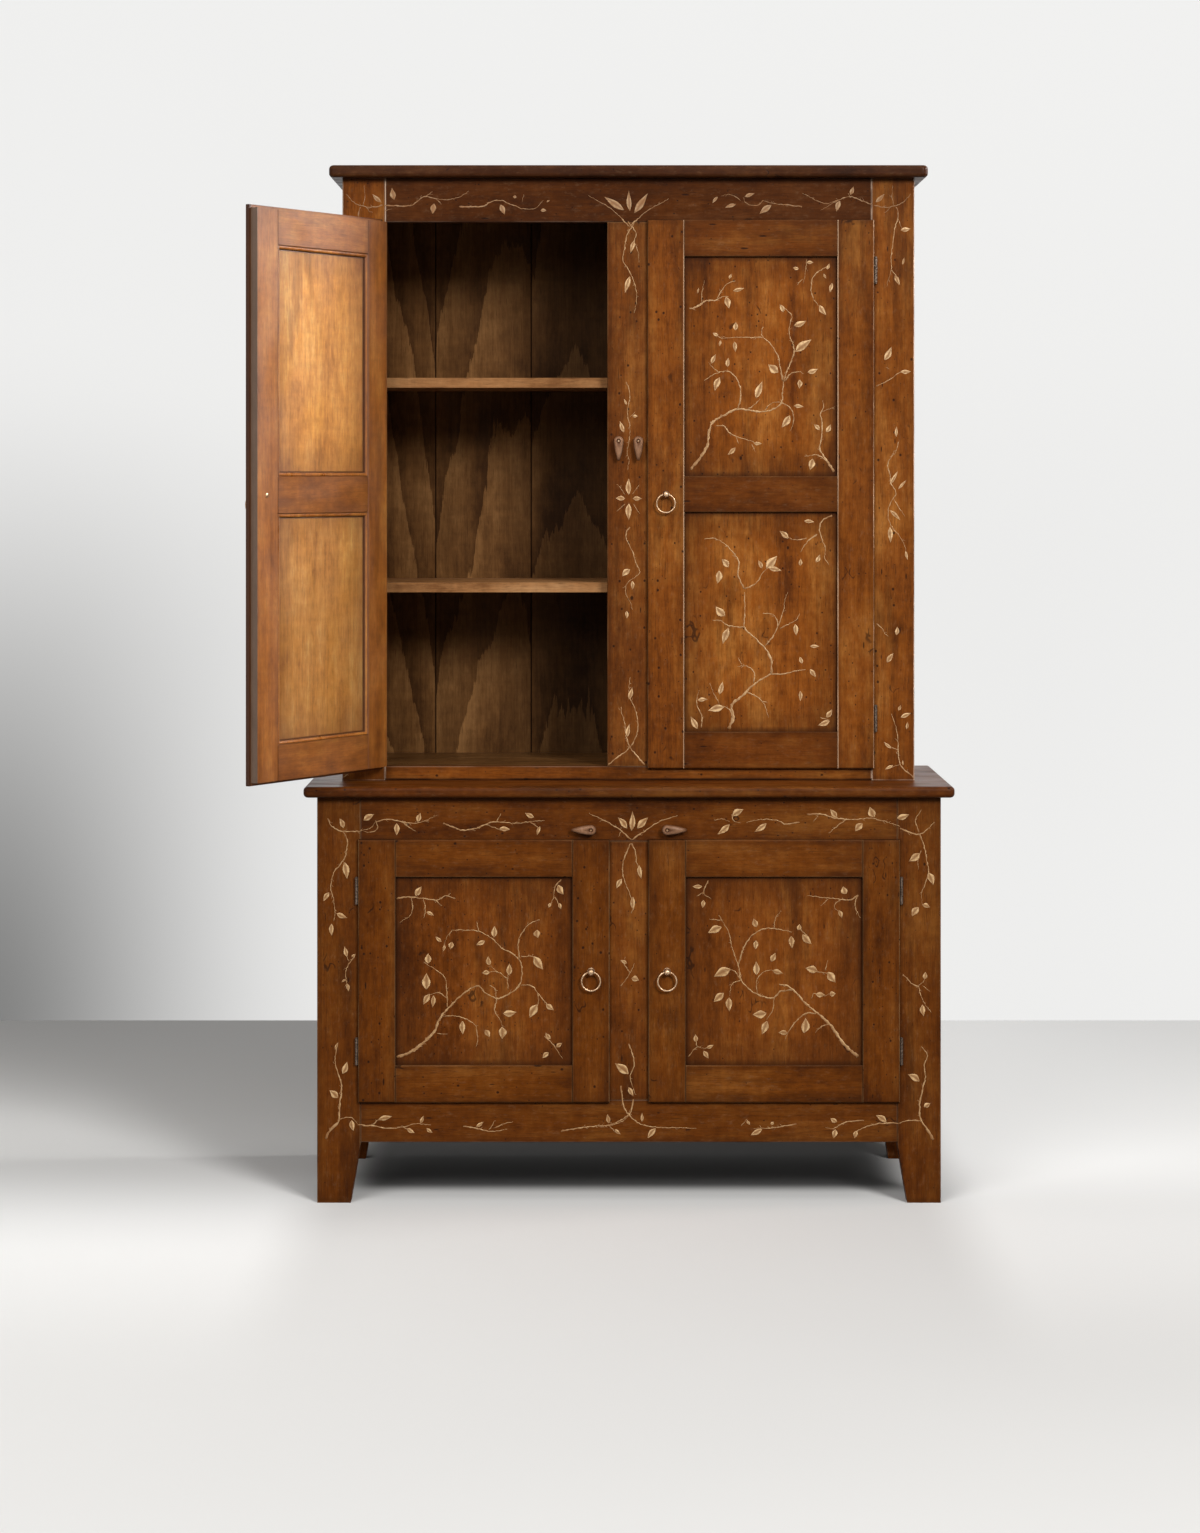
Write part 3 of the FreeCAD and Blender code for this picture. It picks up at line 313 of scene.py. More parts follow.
            (3, 1, (858, 485), (850, 520), (868, 560)), (2.5, 1, (800, 500), (780, 520), (800, 545)),
            (2, 0.8, (760, 498), (735, 520)), (3, 1, (295, 1025), (320, 992), (345, 995)),
            (2.5, 1, (322, 990), (318, 955)), (2, 0.8, (345, 998), (370, 988)),
        ),
    },
}

# Painted leaves, in the same order: root across and down the window, tip, and width, all in its pixels
LEAVES = {
    "upper_case": {
        "upper_right": (
            (745, 240, 695, 278, 30), (630, 205, 672, 190, 20), (592, 236, 545, 250, 20),
            (512, 205, 490, 232, 14), (1090, 195, 1105, 160, 22), (1045, 222, 1030, 268, 26),
            (130, 265, 125, 178, 26), (105, 262, 20, 205, 34), (150, 275, 208, 190, 34),
            (150, 395, 132, 450, 22), (130, 550, 108, 622, 26), (115, 1110, 105, 1085, 10),
            (105, 1230, 88, 1180, 22), (140, 1160, 165, 1160, 14),
        ),
        "middle_right": (
            (125, 195, 125, 125, 28), (108, 212, 68, 210, 26), (142, 212, 182, 212, 24),
            (125, 232, 125, 305, 32), (130, 520, 95, 552, 30), (140, 570, 140, 610, 20),
            (115, 700, 118, 735, 18), (125, 1085, 140, 1035, 24), (120, 1250, 128, 1195, 22),
        ),
        "top_left": (
            (125, 345, 105, 245, 60), (470, 380, 458, 470, 60), (1050, 390, 1085, 475, 55),
            (1400, 440, 1450, 440, 35), (1190, 320, 1155, 320, 28), (1450, 370, 1480, 350, 18),
        ),
    },
    "upper_right_stile": {
        "upper_right": (
            (1200, 228, 1240, 192, 22), (1310, 350, 1352, 342, 24), (1285, 545, 1305, 588, 22),
            (1318, 500, 1325, 470, 10), (1240, 915, 1270, 858, 30), (1310, 965, 1355, 965, 22),
            (1290, 1250, 1292, 1205, 14),
        ),
        "middle_right": (
            (1262, 150, 1298, 92, 18), (1300, 170, 1335, 130, 12), (1262, 262, 1308, 305, 20),
            (1262, 335, 1265, 405, 26), (1332, 440, 1340, 478, 12), (1290, 805, 1295, 770, 22),
            (1250, 925, 1278, 885, 26), (1270, 1300, 1238, 1272, 16), (1275, 1375, 1242, 1392, 14),
            (1310, 1165, 1355, 1145, 22), (1300, 1135, 1310, 1112, 16), (1335, 1215, 1340, 1185, 16),
            (1320, 1375, 1318, 1350, 8),
        ),
    },
    "upper_door": {
        "upper_right": (
            (800, 705, 782, 672, 24), (845, 765, 898, 745, 30), (850, 880, 922, 825, 40),
            (775, 970, 732, 935, 42), (905, 968, 950, 955, 26), (870, 1000, 868, 1040, 26),
            (845, 1115, 888, 1118, 20), (828, 1158, 790, 1208, 34), (590, 785, 592, 748, 26),
            (585, 835, 590, 880, 22), (525, 830, 520, 855, 12), (515, 808, 492, 795, 18),
            (522, 990, 500, 1050, 32), (555, 945, 560, 905, 22), (485, 930, 505, 890, 22),
            (680, 1082, 708, 1008, 34), (668, 1278, 705, 1278, 18), (590, 1295, 555, 1328, 22),
            (550, 640, 562, 692, 32), (580, 615, 628, 602, 20), (562, 560, 572, 540, 12),
            (425, 625, 430, 600, 8), (955, 675, 985, 718, 28), (1010, 580, 1000, 620, 20),
            (990, 520, 1000, 495, 16), (865, 518, 840, 512, 18), (900, 490, 930, 490, 18),
            (975, 540, 985, 560, 10), (955, 1220, 932, 1195, 22), (985, 1230, 1005, 1195, 24),
            (925, 1345, 915, 1395, 34),
        ),
        "middle_right": (
            (560, 510, 530, 475, 32), (520, 525, 510, 582, 34), (705, 515, 690, 482, 22),
            (725, 515, 772, 462, 42), (735, 515, 790, 525, 26), (545, 722, 505, 682, 40),
            (560, 775, 535, 845, 34), (850, 758, 855, 808, 26), (915, 855, 955, 855, 18),
            (880, 930, 870, 900, 20), (915, 955, 940, 990, 24), (872, 1050, 872, 1095, 20),
            (540, 1118, 470, 1135, 36), (520, 1065, 535, 1010, 26), (425, 1090, 468, 1085, 22),
            (425, 1215, 395, 1160, 30), (820, 385, 782, 352, 28), (890, 310, 935, 315, 20),
            (940, 490, 958, 455, 22), (872, 505, 875, 475, 20), (985, 1165, 1010, 1130, 26),
            (1000, 1180, 950, 1200, 28),
        ),
    },
    "base_case": {
        "base_left": (
            (355, 245, 355, 285, 22), (425, 240, 435, 210, 20), (245, 235, 280, 215, 24),
            (700, 262, 735, 265, 18), (815, 225, 785, 210, 18), (835, 255, 825, 285, 14),
            (178, 260, 165, 228, 20), (182, 375, 190, 430, 26), (130, 475, 112, 505, 18),
            (155, 545, 190, 560, 20), (138, 580, 138, 620, 18), (190, 690, 182, 655, 16),
            (185, 765, 172, 775, 8), (205, 690, 218, 682, 12), (192, 780, 195, 805, 14),
            (175, 1080, 190, 1040, 24), (160, 1160, 132, 1135, 26), (205, 1235, 212, 1270, 22),
            (150, 1000, 160, 975, 10), (295, 1232, 340, 1222, 20), (390, 1262, 415, 1278, 16),
            (435, 1245, 445, 1220, 14), (455, 1262, 475, 1278, 14), (620, 1258, 645, 1240, 14),
            (1065, 1245, 1060, 1215, 16), (1085, 1265, 1103, 1282, 14),
        ),
        "base_right": (
            (105, 270, 108, 205, 24), (90, 262, 60, 225, 24), (125, 262, 160, 225, 26),
            (72, 430, 55, 462, 20), (110, 490, 112, 535, 18), (130, 385, 138, 430, 18),
            (90, 712, 68, 702, 14), (105, 762, 130, 768, 24), (95, 1080, 50, 1045, 34),
            (95, 1125, 112, 1155, 18), (185, 1262, 158, 1296, 22), (140, 1240, 140, 1210, 12),
            (442, 220, 478, 198, 26), (432, 248, 392, 282, 24), (555, 245, 515, 274, 22),
            (790, 225, 768, 198, 22), (915, 225, 900, 190, 30), (875, 245, 850, 272, 26),
            (990, 228, 1032, 215, 24), (1065, 345, 1030, 372, 28), (1095, 410, 1112, 450, 26),
            (1062, 525, 1040, 555, 26), (1075, 515, 1100, 525, 18), (1082, 765, 1085, 740, 18),
            (1075, 850, 1080, 888, 22), (1065, 1105, 1028, 1082, 26), (1080, 1190, 1102, 1178, 20),
            (540, 1265, 502, 1285, 20), (570, 1250, 580, 1240, 12), (500, 1250, 488, 1232, 10),
            (955, 1240, 920, 1218, 24), (790, 1240, 768, 1228, 18), (785, 1265, 778, 1295, 22),
            (855, 1270, 848, 1296, 18),
        ),
    },
    "lower_left_door": {
        "base_left": (
            (540, 640, 535, 665, 22), (505, 640, 485, 622, 14), (515, 650, 510, 672, 12),
            (680, 625, 682, 588, 24), (650, 638, 620, 650, 18), (825, 600, 828, 628, 26),
            (815, 690, 845, 732, 32), (460, 712, 460, 680, 26), (455, 800, 455, 745, 34),
            (465, 815, 445, 850, 24), (478, 820, 475, 860, 18), (665, 720, 660, 690, 20),
            (665, 742, 640, 745, 18), (730, 752, 732, 712, 24), (710, 880, 755, 875, 26),
            (825, 850, 800, 895, 32), (855, 850, 880, 868, 22), (708, 925, 708, 965, 32),
            (575, 905, 578, 950, 24), (650, 935, 665, 958, 22), (418, 488, 438, 455, 24),
            (455, 540, 480, 552, 14), (895, 450, 912, 482, 26), (870, 510, 862, 525, 12),
            (900, 510, 905, 530, 14), (870, 965, 852, 945, 16), (890, 992, 908, 978, 16),
            (862, 1010, 842, 1028, 18),
        ),
    },
    "lower_right_door": {
        "base_right": (
            (405, 590, 360, 610, 30), (522, 590, 512, 562, 24), (520, 635, 518, 665, 20),
            (638, 620, 640, 662, 24), (660, 600, 665, 580, 18), (675, 615, 705, 648, 26),
            (435, 730, 380, 755, 36), (412, 810, 378, 840, 28), (430, 825, 432, 872, 26),
            (522, 750, 520, 705, 26), (570, 705, 585, 678, 22), (575, 735, 610, 745, 20),
            (725, 738, 685, 728, 30), (760, 740, 785, 775, 32), (720, 815, 750, 818, 22),
            (765, 815, 785, 812, 22), (555, 880, 508, 882, 32), (558, 905, 540, 950, 28),
            (680, 945, 685, 895, 34), (625, 945, 595, 942, 20), (340, 455, 308, 455, 16),
            (345, 500, 342, 528, 16), (820, 480, 810, 455, 26), (798, 535, 808, 560, 16),
            (320, 975, 318, 950, 18), (345, 1005, 362, 1030, 18), (355, 995, 378, 985, 14),
        ),
    },
}


class Shader:
    """The nodes of one material, or of a world. Each call makes a node and returns its output."""

    def __init__(self, name, kind="materials"):
        self.holder = getattr(bpy.data, kind).new(name)
        self.holder.use_nodes = True
        self.tree = self.holder.node_tree
        self.tree.nodes.clear()

    def node(self, kind, **settings):
        made = self.tree.nodes.new("ShaderNode" + kind)
        for key, value in settings.items():
            setattr(made, key, value)
        return made

    def put(self, socket, value):
        if isinstance(value, bpy.types.NodeSocket):
            self.tree.links.new(value, socket)
        elif value is not None:
            socket.default_value = value

    def math(self, operation, a, b=None, clamp=False):
        made = self.node("Math", operation=operation, use_clamp=clamp)
        self.put(made.inputs[0], a)
        self.put(made.inputs[1], b)
        return made.outputs[0]

    def weigh(self, *pairs):
        """The sum of some values, each times its weight."""
        total = None
        for value, weight in pairs:
            part = self.math("MULTIPLY", value, weight)
            total = part if total is None else self.math("ADD", total, part)
        return total

    def combine(self, x, y, z):
        made = self.node("CombineXYZ")
        for socket, value in zip(made.inputs, (x, y, z)):
            self.put(socket, value)
        return made.outputs[0]

    def separate(self, vector):
        made = self.node("SeparateXYZ")
        self.put(made.inputs[0], vector)
        return made.outputs[0], made.outputs[1], made.outputs[2]

    def scaled(self, vector, scale, shift=(0.0, 0.0, 0.0)):
        made = self.node("VectorMath", operation="MULTIPLY_ADD")
        self.put(made.inputs[0], vector)
        self.put(made.inputs[1], scale)
        self.put(made.inputs[2], shift)
        return made.outputs[0]

    def noise(self, vector, detail=3.0, roughness=0.55):
        made = self.node("TexNoise")
        self.put(made.inputs["Vector"], vector)
        self.put(made.inputs["Scale"], 1.0)
        self.put(made.inputs["Detail"], detail)
        self.put(made.inputs["Roughness"], roughness)
        return made.outputs["Fac"]

    def cells(self, vector):
        made = self.node("TexVoronoi")
        self.put(made.inputs["Vector"], vector)
        self.put(made.inputs["Scale"], 1.0)
        return made.outputs["Distance"], made.outputs["Color"]

    def span(self, value, low, high, to_low=0.0, to_high=1.0):
        made = self.node("MapRange", interpolation_type="SMOOTHSTEP")
        for socket, setting in zip(made.inputs, (value, low, high, to_low, to_high)):
            self.put(socket, setting)
        return made.outputs[0]

    def mix(self, factor, a, b, blend="MIX"):
        made = self.node("Mix", data_type="RGBA", blend_type=blend)
        self.put(made.inputs[0], factor)
        self.put(made.inputs[6], a if isinstance(a, bpy.types.NodeSocket) else (*a, 1.0))
        self.put(made.inputs[7], b if isinstance(b, bpy.types.NodeSocket) else (*b, 1.0))
        return made.outputs[2]

    def finish(self, colour, roughness, height=None, depth=0.0004, one_sided=False, **constants):
        shader = self.node("BsdfPrincipled", distribution="GGX")
        self.put(shader.inputs["Base Color"], colour)
        self.put(shader.inputs["Roughness"], roughness)
        for key, value in constants.items():
            self.put(shader.inputs[key.replace("_", " ")], value)
        if height is not None:
            bump = self.node("Bump")
            self.put(bump.inputs["Strength"], 0.6)
            self.put(bump.inputs["Distance"], depth)
            self.put(bump.inputs["Height"], height)
            self.put(shader.inputs["Normal"], bump.outputs[0])
        surface = shader.outputs[0]
        if one_sided:
            clear = self.node("MixShader")
            self.put(clear.inputs[0], self.node("NewGeometry").outputs["Backfacing"])
            self.put(clear.inputs[1], surface)
            self.put(clear.inputs[2], self.node("BsdfTransparent").outputs[0])
            surface = clear.outputs[0]
        self.put(self.node("OutputMaterial").inputs["Surface"], surface)
        return self.holder


# Stain colours from the darkest glaze to the palest wood
TONES = {
    "upper": ((0.083, 0.019, 0.002), (0.208, 0.056, 0.006), (0.364, 0.135, 0.025)),
    "centre": ((0.066, 0.016, 0.002), (0.160, 0.044, 0.006), (0.300, 0.110, 0.022)),
    "rail": ((0.058, 0.013, 0.001), (0.139, 0.036, 0.004), (0.224, 0.076, 0.013)),
    # The upper case's top rail, darker as a painted shadow under the crown
    "top_rail": ((0.033, 0.008, 0.001), (0.070, 0.018, 0.002), (0.127, 0.043, 0.011)),
    "base": ((0.066, 0.015, 0.001), (0.160, 0.042, 0.005), (0.280, 0.098, 0.017)),
    "base_door": ((0.058, 0.013, 0.001), (0.139, 0.036, 0.003), (0.238, 0.080, 0.013)),
    "base_frame": ((0.050, 0.011, 0.001), (0.120, 0.031, 0.003), (0.205, 0.069, 0.011)),
    "crown": ((0.014, 0.004, 0.001), (0.046, 0.013, 0.003), (0.110, 0.040, 0.012)),
    "worktop": ((0.034, 0.008, 0.001), (0.098, 0.024, 0.002), (0.180, 0.060, 0.010)),
    "inside": ((0.250, 0.080, 0.012), (0.500, 0.206, 0.040), (0.720, 0.400, 0.118)),
    "inside_frame": ((0.110, 0.030, 0.004), (0.270, 0.084, 0.011), (0.460, 0.190, 0.036)),
    "boards": ((0.042, 0.016, 0.004), (0.112, 0.048, 0.014), (0.215, 0.102, 0.034)),
    "shelf": ((0.140, 0.056, 0.018), (0.270, 0.125, 0.046), (0.370, 0.195, 0.083)),
    "button": ((0.130, 0.056, 0.026), (0.250, 0.125, 0.066), (0.400, 0.230, 0.135)),
}
# Pale colours on the arrises: partly wear, partly a painted highlight where an edge catches the light
PALE_EDGE = (0.60, 0.42, 0.30)
WARM_EDGE = (0.56, 0.35, 0.21)
TAN_EDGE = (0.33, 0.165, 0.066)
DARK_GLAZE = (0.024, 0.007, 0.002)
RED_GLAZE = (0.085, 0.023, 0.005)
DUST = (0.36, 0.21, 0.11)
HOLE = (0.010, 0.004, 0.002)
UPPER_PAINT = (0.760, 0.505, 0.260)
BASE_PAINT = (0.650, 0.420, 0.205)
WORN_PAINT = (0.40, 0.32, 0.27)
THIN_PAINT = (0.220, 0.088, 0.024)
SHADED_PAINT = (0.200, 0.108, 0.060)
BOARD_SKIN = 0.002
RAW_EDGE = ((0.070, 0.040, 0.024), (0.155, 0.098, 0.066))
# Figures of the wood: cells in a metre across, through and along the grain, then detail and roughness
FIGURES = {
    "sway": ((5.0, 5.0, 1.8), 2.0, 0.55),
    "band": ((26.0, 26.0, 0.9), 2.0, 0.5),
    "streak": ((170.0, 170.0, 2.6), 3.0, 0.6),
    "fibre": ((620.0, 620.0, 11.0), 3.0, 0.6),
    "pore": ((1100.0, 1100.0, 36.0), 1.0, 0.55),
    "ripple_sheen": ((16.0, 16.0, 85.0), 2.0, 0.55),
    "blotch": ((9.0, 9.0, 4.6), 4.0, 0.6),
    "mottle": ((58.0, 58.0, 24.0), 5.0, 0.72),
    "patch": ((16.0, 16.0, 7.0), 3.0, 0.55),
    "wander": ((60.0, 60.0, 60.0), 3.0, 0.55),
    "smoke": ((14.0, 14.0, 2.6), 5.0, 0.68),
    "dust": ((130.0, 130.0, 60.0), 6.0, 0.75),
    "drift": ((7.0, 7.0, 1.2), 2.0, 0.55),
    "jag": ((150.0, 150.0, 9.0), 4.0, 0.7),
    "track": ((46.0, 46.0, 30.0), 1.0, 0.55),
    "track_place": ((15.0, 15.0, 9.0), 2.0, 0.55),
}
# Wear in metres, from where it is full to where it ends: the dark line in a corner, a rubbed arris with its
# painted highlight, the gap between back boards, the painted shadow line at a rebate's step, and the shade at
# a bead across and along its panel
CORNER_LINE = (0.0008, 0.0026)
ARRIS = (0.0010, 0.0026)
BOARD_GAP = (0.0008, 0.0022)
REBATE_SHADOW = (0.0055, 0.0056)
BEAD_RIM = ((0.0092, 0.0150), (0.0084, 0.0112))
# Heights over which the open door's shade fades, and how far from the middle the back boards' shade does
LOW_SHADE_Z = (1.20, 1.50)
DUSK_X = (0.08, 0.30)
# Knocks and worm holes: cells in a metre across, through and along, size in a cell, and the share of cells
# that have one
MARKS = (((60.0, 60.0, 52.0), 0.20, 0.48), ((80.0, 80.0, 17.0), 0.20, 0.26),
         ((21.0, 34.0, 15.0), 0.11, 0.34), ((150.0, 150.0, 110.0), 0.26, 0.24))
# Section of the bead inside a door panel: inset from the frame and depth behind the case front
BEAD = ((-0.0003, 0.0080), (-0.0003, 0.0126), (0.0012, 0.0140), (0.0035, 0.0142), (0.0058, 0.0132),
        (0.0072, 0.0112), (0.0076, 0.0084))
# How pale each line of the bead is, pale on its crest with painted shade on its flanks, and that shade's
# colour
BEAD_PALE = (0.0, 0.0, 0.55, 1.0, 0.8, 0.1, 0.0)
BEAD_SHADE = (0.060, 0.017, 0.004)
# Brushwork: widths as shares of the readings, how a stem swells and wanders, and its thorny spurs
STROKE = 0.80
STOUT_ROOT, ROOT_GROWTH = 5, 1.2
SWELL = (0.55, 1.35)
WANDER = 0.0008
SPUR_SHARE = 0.13
SPUR_WIDTHS = (1.3, 0.5)
SPUR_LENGTH = (0.003, 0.006)
SPUR_LEAN = 0.9
# How far across its width each line of a stroke lies and how proud of the wood, and for a leaf how pale
STEM_SECTION = ((-1.0, -0.0001), (-0.75, 0.0002), (0.0, 0.00026), (0.75, 0.0002), (1.0, -0.0001))
# The side of a stem given a painted highlight, as if lit from the upper right
LIT_SIDE = Vector((0.75, 0.66))
LEAF_GROWTH = 0.92
LEAF_BEND = 0.25
LEAF_OUTLINE = ((0.0, 0.06), (0.10, 0.36), (0.24, 0.80), (0.40, 1.0), (0.58, 0.86), (0.76, 0.50),
                (0.90, 0.19), (1.0, 0.02))
LEAF_SECTION = ((-1.0, -0.0001, 0.7), (-0.8, 0.00024, 0.9), (-0.35, 0.00024, 0.25), (0.0, 0.0002, 0.0),
                (0.3, 0.00024, 0.6), (0.8, 0.00024, 1.0), (1.0, -0.0001, 0.8))
# Stage: half the floor's width and depth, the wall, and lamps with place, target, size, power in watts and
# spread in degrees
STAGE_SIDE, STAGE_REACH = 9, 11
WALL_Y, WALL_HEIGHT = 2.08, 7
LAMPS = {
    "window": ((5.0, -9.8, 6.1), (-0.2, 0.0, 1.0), (3.6, 3.6), 1110, 180),
    "fill": ((-4.5, -9.0, 6.0), (0.0, 0.5, 1.0), (6.0, 6.0), 590, 180),
    "ceiling": ((0.8, -3.6, 8.0), (0.8, -3.4, 0.0), (5.0, 5.0), 110, 180),
    "side_window": ((3.6, 0.25, 3.2), (-0.72, -0.45, 1.8), (1.2, 1.4), 21, 50),
    "rear": ((0.0, 1.95, 1.25), (0.0, 0.0, 1.25), (1.3, 1.3), 6, 30),
}
# Which of X, Y and Z runs across, through and along a board that lies one way
AXES = {"upright": (0, 1, 2), "cross": (2, 1, 0), "shelf": (1, 2, 0), "side": (1, 0, 2), "cleat": (2, 0, 1)}


def pattern(s, kind, place, shift):
    """One of the wood's figures, laid along its grain."""
    cells, detail, roughness = FIGURES[kind]
    return s.noise(s.scaled(place, cells, shift), detail, roughness)


def stain(s, tone, level, shade):
    """The stained colour of a tone, from dark to pale by its level."""
    dark, middle, pale = TONES[tone]
    colour = s.mix(s.span(level, 0.34, 0.52), dark, middle)
    colour = s.mix(s.span(level, 0.48, 0.68), colour, pale)
    return s.mix(1.0, colour, s.combine(shade, shade, shade), "MULTIPLY")


def inside_edges(s, value, spans):
    """How far a point lies inside the nearest of some spans of one axis, in metres."""
    depth = None
    for low, high in spans:
        here = s.math("MINIMUM", s.math("SUBTRACT", value, low), s.math("SUBTRACT", high, value))
        depth = here if depth is None else s.math("MAXIMUM", depth, here)
    return depth


def wood(name, tone, lie, sides=(), ends=(), faces=(), side_wear=0.5, end_scuff_glint=0.5, glaze=0.40,
         glaze_width=0.024, edge_glaze=0.65, scuff_and_glint=PALE_EDGE, joint=None, bead=False, rebate=None,
         low_shade=1.0, swung=False, back=None, board_width=None, rough=0.38, sheen=0.045, marked=True,
         worked=False):
    """Glazed wood whose grain lies along a piece, dark towards its edges, with wear and painted highlights on
    its arrises.

    sides, ends and faces are the spans of the visible piece across, along and through the board. back is the
    tone of what lies behind a plane, as the inner face of a door, with that plane's axis, place and
    direction, and low_shade darkens it low on the door. joint is the place across, colour, strength and
    reach of the line where another piece meets this one. rebate is the outer edge of a stile that is rebated
    behind, with a painted shadow line along its step, and bead is for a panel with a bead on its inner side.
    board_width is for wide boards side by side, with a cut figure on their inner face. swung is for the open
    door, whose grain follows its closed place. marked wood has knocks and worm holes, and worked wood has
    painted shade where its mesh isn't pale.
    """
    s = Shader(name)
    place = s.node("TexCoord").outputs["Object"]
    if swung:
        turn = s.node("VectorRotate", rotation_type="Z_AXIS")
        s.put(turn.inputs["Vector"], place)
        s.put(turn.inputs["Center"], OPEN_PIN)
        s.put(turn.inputs["Angle"], OPEN_ANGLE)
        place = turn.outputs[0]
    xyz = s.separate(place)
    across, through, along = (xyz[axis] for axis in AXES[lie])
    shift = [chance.uniform(-40, 40) for _ in range(3)]
    grain = s.combine(across, through, along)
    if board_width:
        board = s.math("FLOOR", s.math("DIVIDE", across, board_width))
        grain = s.combine(across, through, s.math("ADD", along, s.math("MULTIPLY", board, 3.7)))

    sway = s.math("MULTIPLY", pattern(s, "sway", grain, shift), 0.035)
    lines = s.scaled(grain, (1.0, 1.0, 1.0), s.combine(sway, 0.0, 0.0))
    band = pattern(s, "band", lines, shift)
    streak = pattern(s, "streak", lines, shift)
    fibre = pattern(s, "fibre", lines, shift)
    # The ripple figure across the grain, its shimmer painted in as fixed bands of sheen
    ripple_sheen = pattern(s, "ripple_sheen", grain, shift)
    blotch = pattern(s, "blotch", grain, shift)
    mottle = pattern(s, "mottle", grain, shift)
    patch = pattern(s, "patch", grain, shift)
    wander = pattern(s, "wander", grain, shift)
    wander = s.math("MULTIPLY", s.math("SUBTRACT", wander, 0.5), 0.006)
    level = s.weigh((band, 0.24), (streak, 0.06), (blotch, 0.36), (mottle, 0.34))
    shade = s.span(s.weigh((fibre, 0.50), (streak, 0.20), (ripple_sheen, 0.30)), 0.32, 0.68, 0.82, 1.16)
    if board_width:
        figure = cut_figure(s, grain, across, along, board, board_width, shift)
        inner_face = s.math("LESS_THAN", s.math("SUBTRACT", through, faces[0][0]), BOARD_SKIN)
        figure = s.mix(inner_face, (0.5, 0.5, 0.5), s.combine(figure, figure, figure))
        level = s.weigh((level, 0.82), (figure, 0.18))
        dusk = s.span(s.math("ABSOLUTE", across), *DUSK_X, 0.38, 1.0)
        shade = s.math("MULTIPLY", shade, s.math("MAXIMUM", dusk, s.math("SUBTRACT", 1.0, inner_face)))

    colour = stain(s, tone, level, shade)
    glaze_colour = DARK_GLAZE
    outer = None
    if back:
        back_tone, axis, limit, sign = back
        behind = s.math("GREATER_THAN", s.math("MULTIPLY", s.math("SUBTRACT", xyz[axis], limit), sign), 0.0)
        outer = s.math("SUBTRACT", 1.0, behind)
        faded = s.math("MULTIPLY", shade, s.span(xyz[2], *LOW_SHADE_Z, low_shade, 1.0))
        colour = s.mix(behind, colour, stain(s, back_tone, level, faded))
        glaze_colour = s.mix(behind, DARK_GLAZE, RED_GLAZE)
    if marked:
        smoke = pattern(s, "smoke", grain, shift)
        colour = s.mix(s.span(smoke, 0.49, 0.72, 0.0, 0.6), colour, glaze_colour)
        dust = pattern(s, "dust", grain, shift)
        colour = s.mix(s.span(dust, 0.52, 0.78, 0.0, 0.18), colour, DUST)
    pore = pattern(s, "pore", lines, shift)
    colour = s.mix(s.span(pore, 0.58, 0.74, 0.0, 0.55), colour, glaze_colour)
    if board_width:
        off_joint = s.math("PINGPONG", across, board_width / 2)
        colour = s.mix(s.span(off_joint, *BOARD_GAP, 0.85, 0.0), colour, HOLE)
    if sides:
        spanned = ((across, sides), (along, ends), (through, faces))
        depths = [inside_edges(s, value, spans) for value, spans in spanned]
        colour = edge_finish(s, colour, depths, (side_wear, end_scuff_glint), scuff_and_glint, outer, glaze_colour,
                             (glaze, glaze_width, edge_glaze), wander, patch)
    if joint:
        edge, line_colour, strength, reach = joint
        near = s.math("MAXIMUM", s.math("ABSOLUTE", s.math("SUBTRACT", across, edge)), depths[2])
        line = s.span(near, 0.4 * reach, reach, strength, 0.0)
        line = s.math("MULTIPLY", line, s.span(patch, 0.30, 0.55, 0.4, 1.0))
        colour = s.mix(line if outer is None else s.math("MULTIPLY", line, outer), colour, line_colour)
    if bead:
        rim = s.math("MAXIMUM", *(s.span(depth, *reach, 0.9, 0.0) for depth, reach in zip(depths, BEAD_RIM)))
        colour = s.mix(s.math("MULTIPLY", behind, rim), colour, BEAD_SHADE)
    if rebate is not None:
        # A painted shadow line along the step of the rebate, then the rebate's raw edge
        away = s.math("ABSOLUTE", s.math("SUBTRACT", across, rebate))
        step_shadow = s.span(away, *REBATE_SHADOW, 0.75, 0.0)
        colour = s.mix(s.math("MULTIPLY", behind, step_shadow), colour, DARK_GLAZE)
        on_rebate = s.math("LESS_THAN", s.math("ABSOLUTE", s.math("SUBTRACT", away, REBATE)), 0.0004)
        colour = s.mix(s.math("MULTIPLY", behind, on_rebate), colour, s.mix(mottle, *RAW_EDGE))
    # Painted shade on the flanks of beads and turn buttons, where their mesh is not pale
    if worked:
        pale = s.node("Attribute", attribute_name="pale").outputs["Fac"]
        colour = s.mix(s.span(pale, 0.0, 1.0, 0.9, 0.0), colour, BEAD_SHADE)

    height = s.weigh((fibre, 0.5), (streak, 0.3))
    if marked:
        marks = knocks(s, grain, shift)
        if back:
            marks = s.math("MULTIPLY", marks, outer)
        colour = s.mix(s.math("MULTIPLY", marks, 0.85), colour, HOLE)
        height = s.math("SUBTRACT", height, marks)
    roughness = s.span(patch, 0.3, 0.7, rough - 0.06, rough + 0.10)
    roughness = s.math("ADD", roughness, s.math("MULTIPLY", fibre, 0.06))
    if swung and back:
        roughness = s.math("MAXIMUM", roughness, s.math("MULTIPLY", outer, 0.95))
    return s.finish(colour, roughness, height, 0.00035, Specular_IOR_Level=sheen)


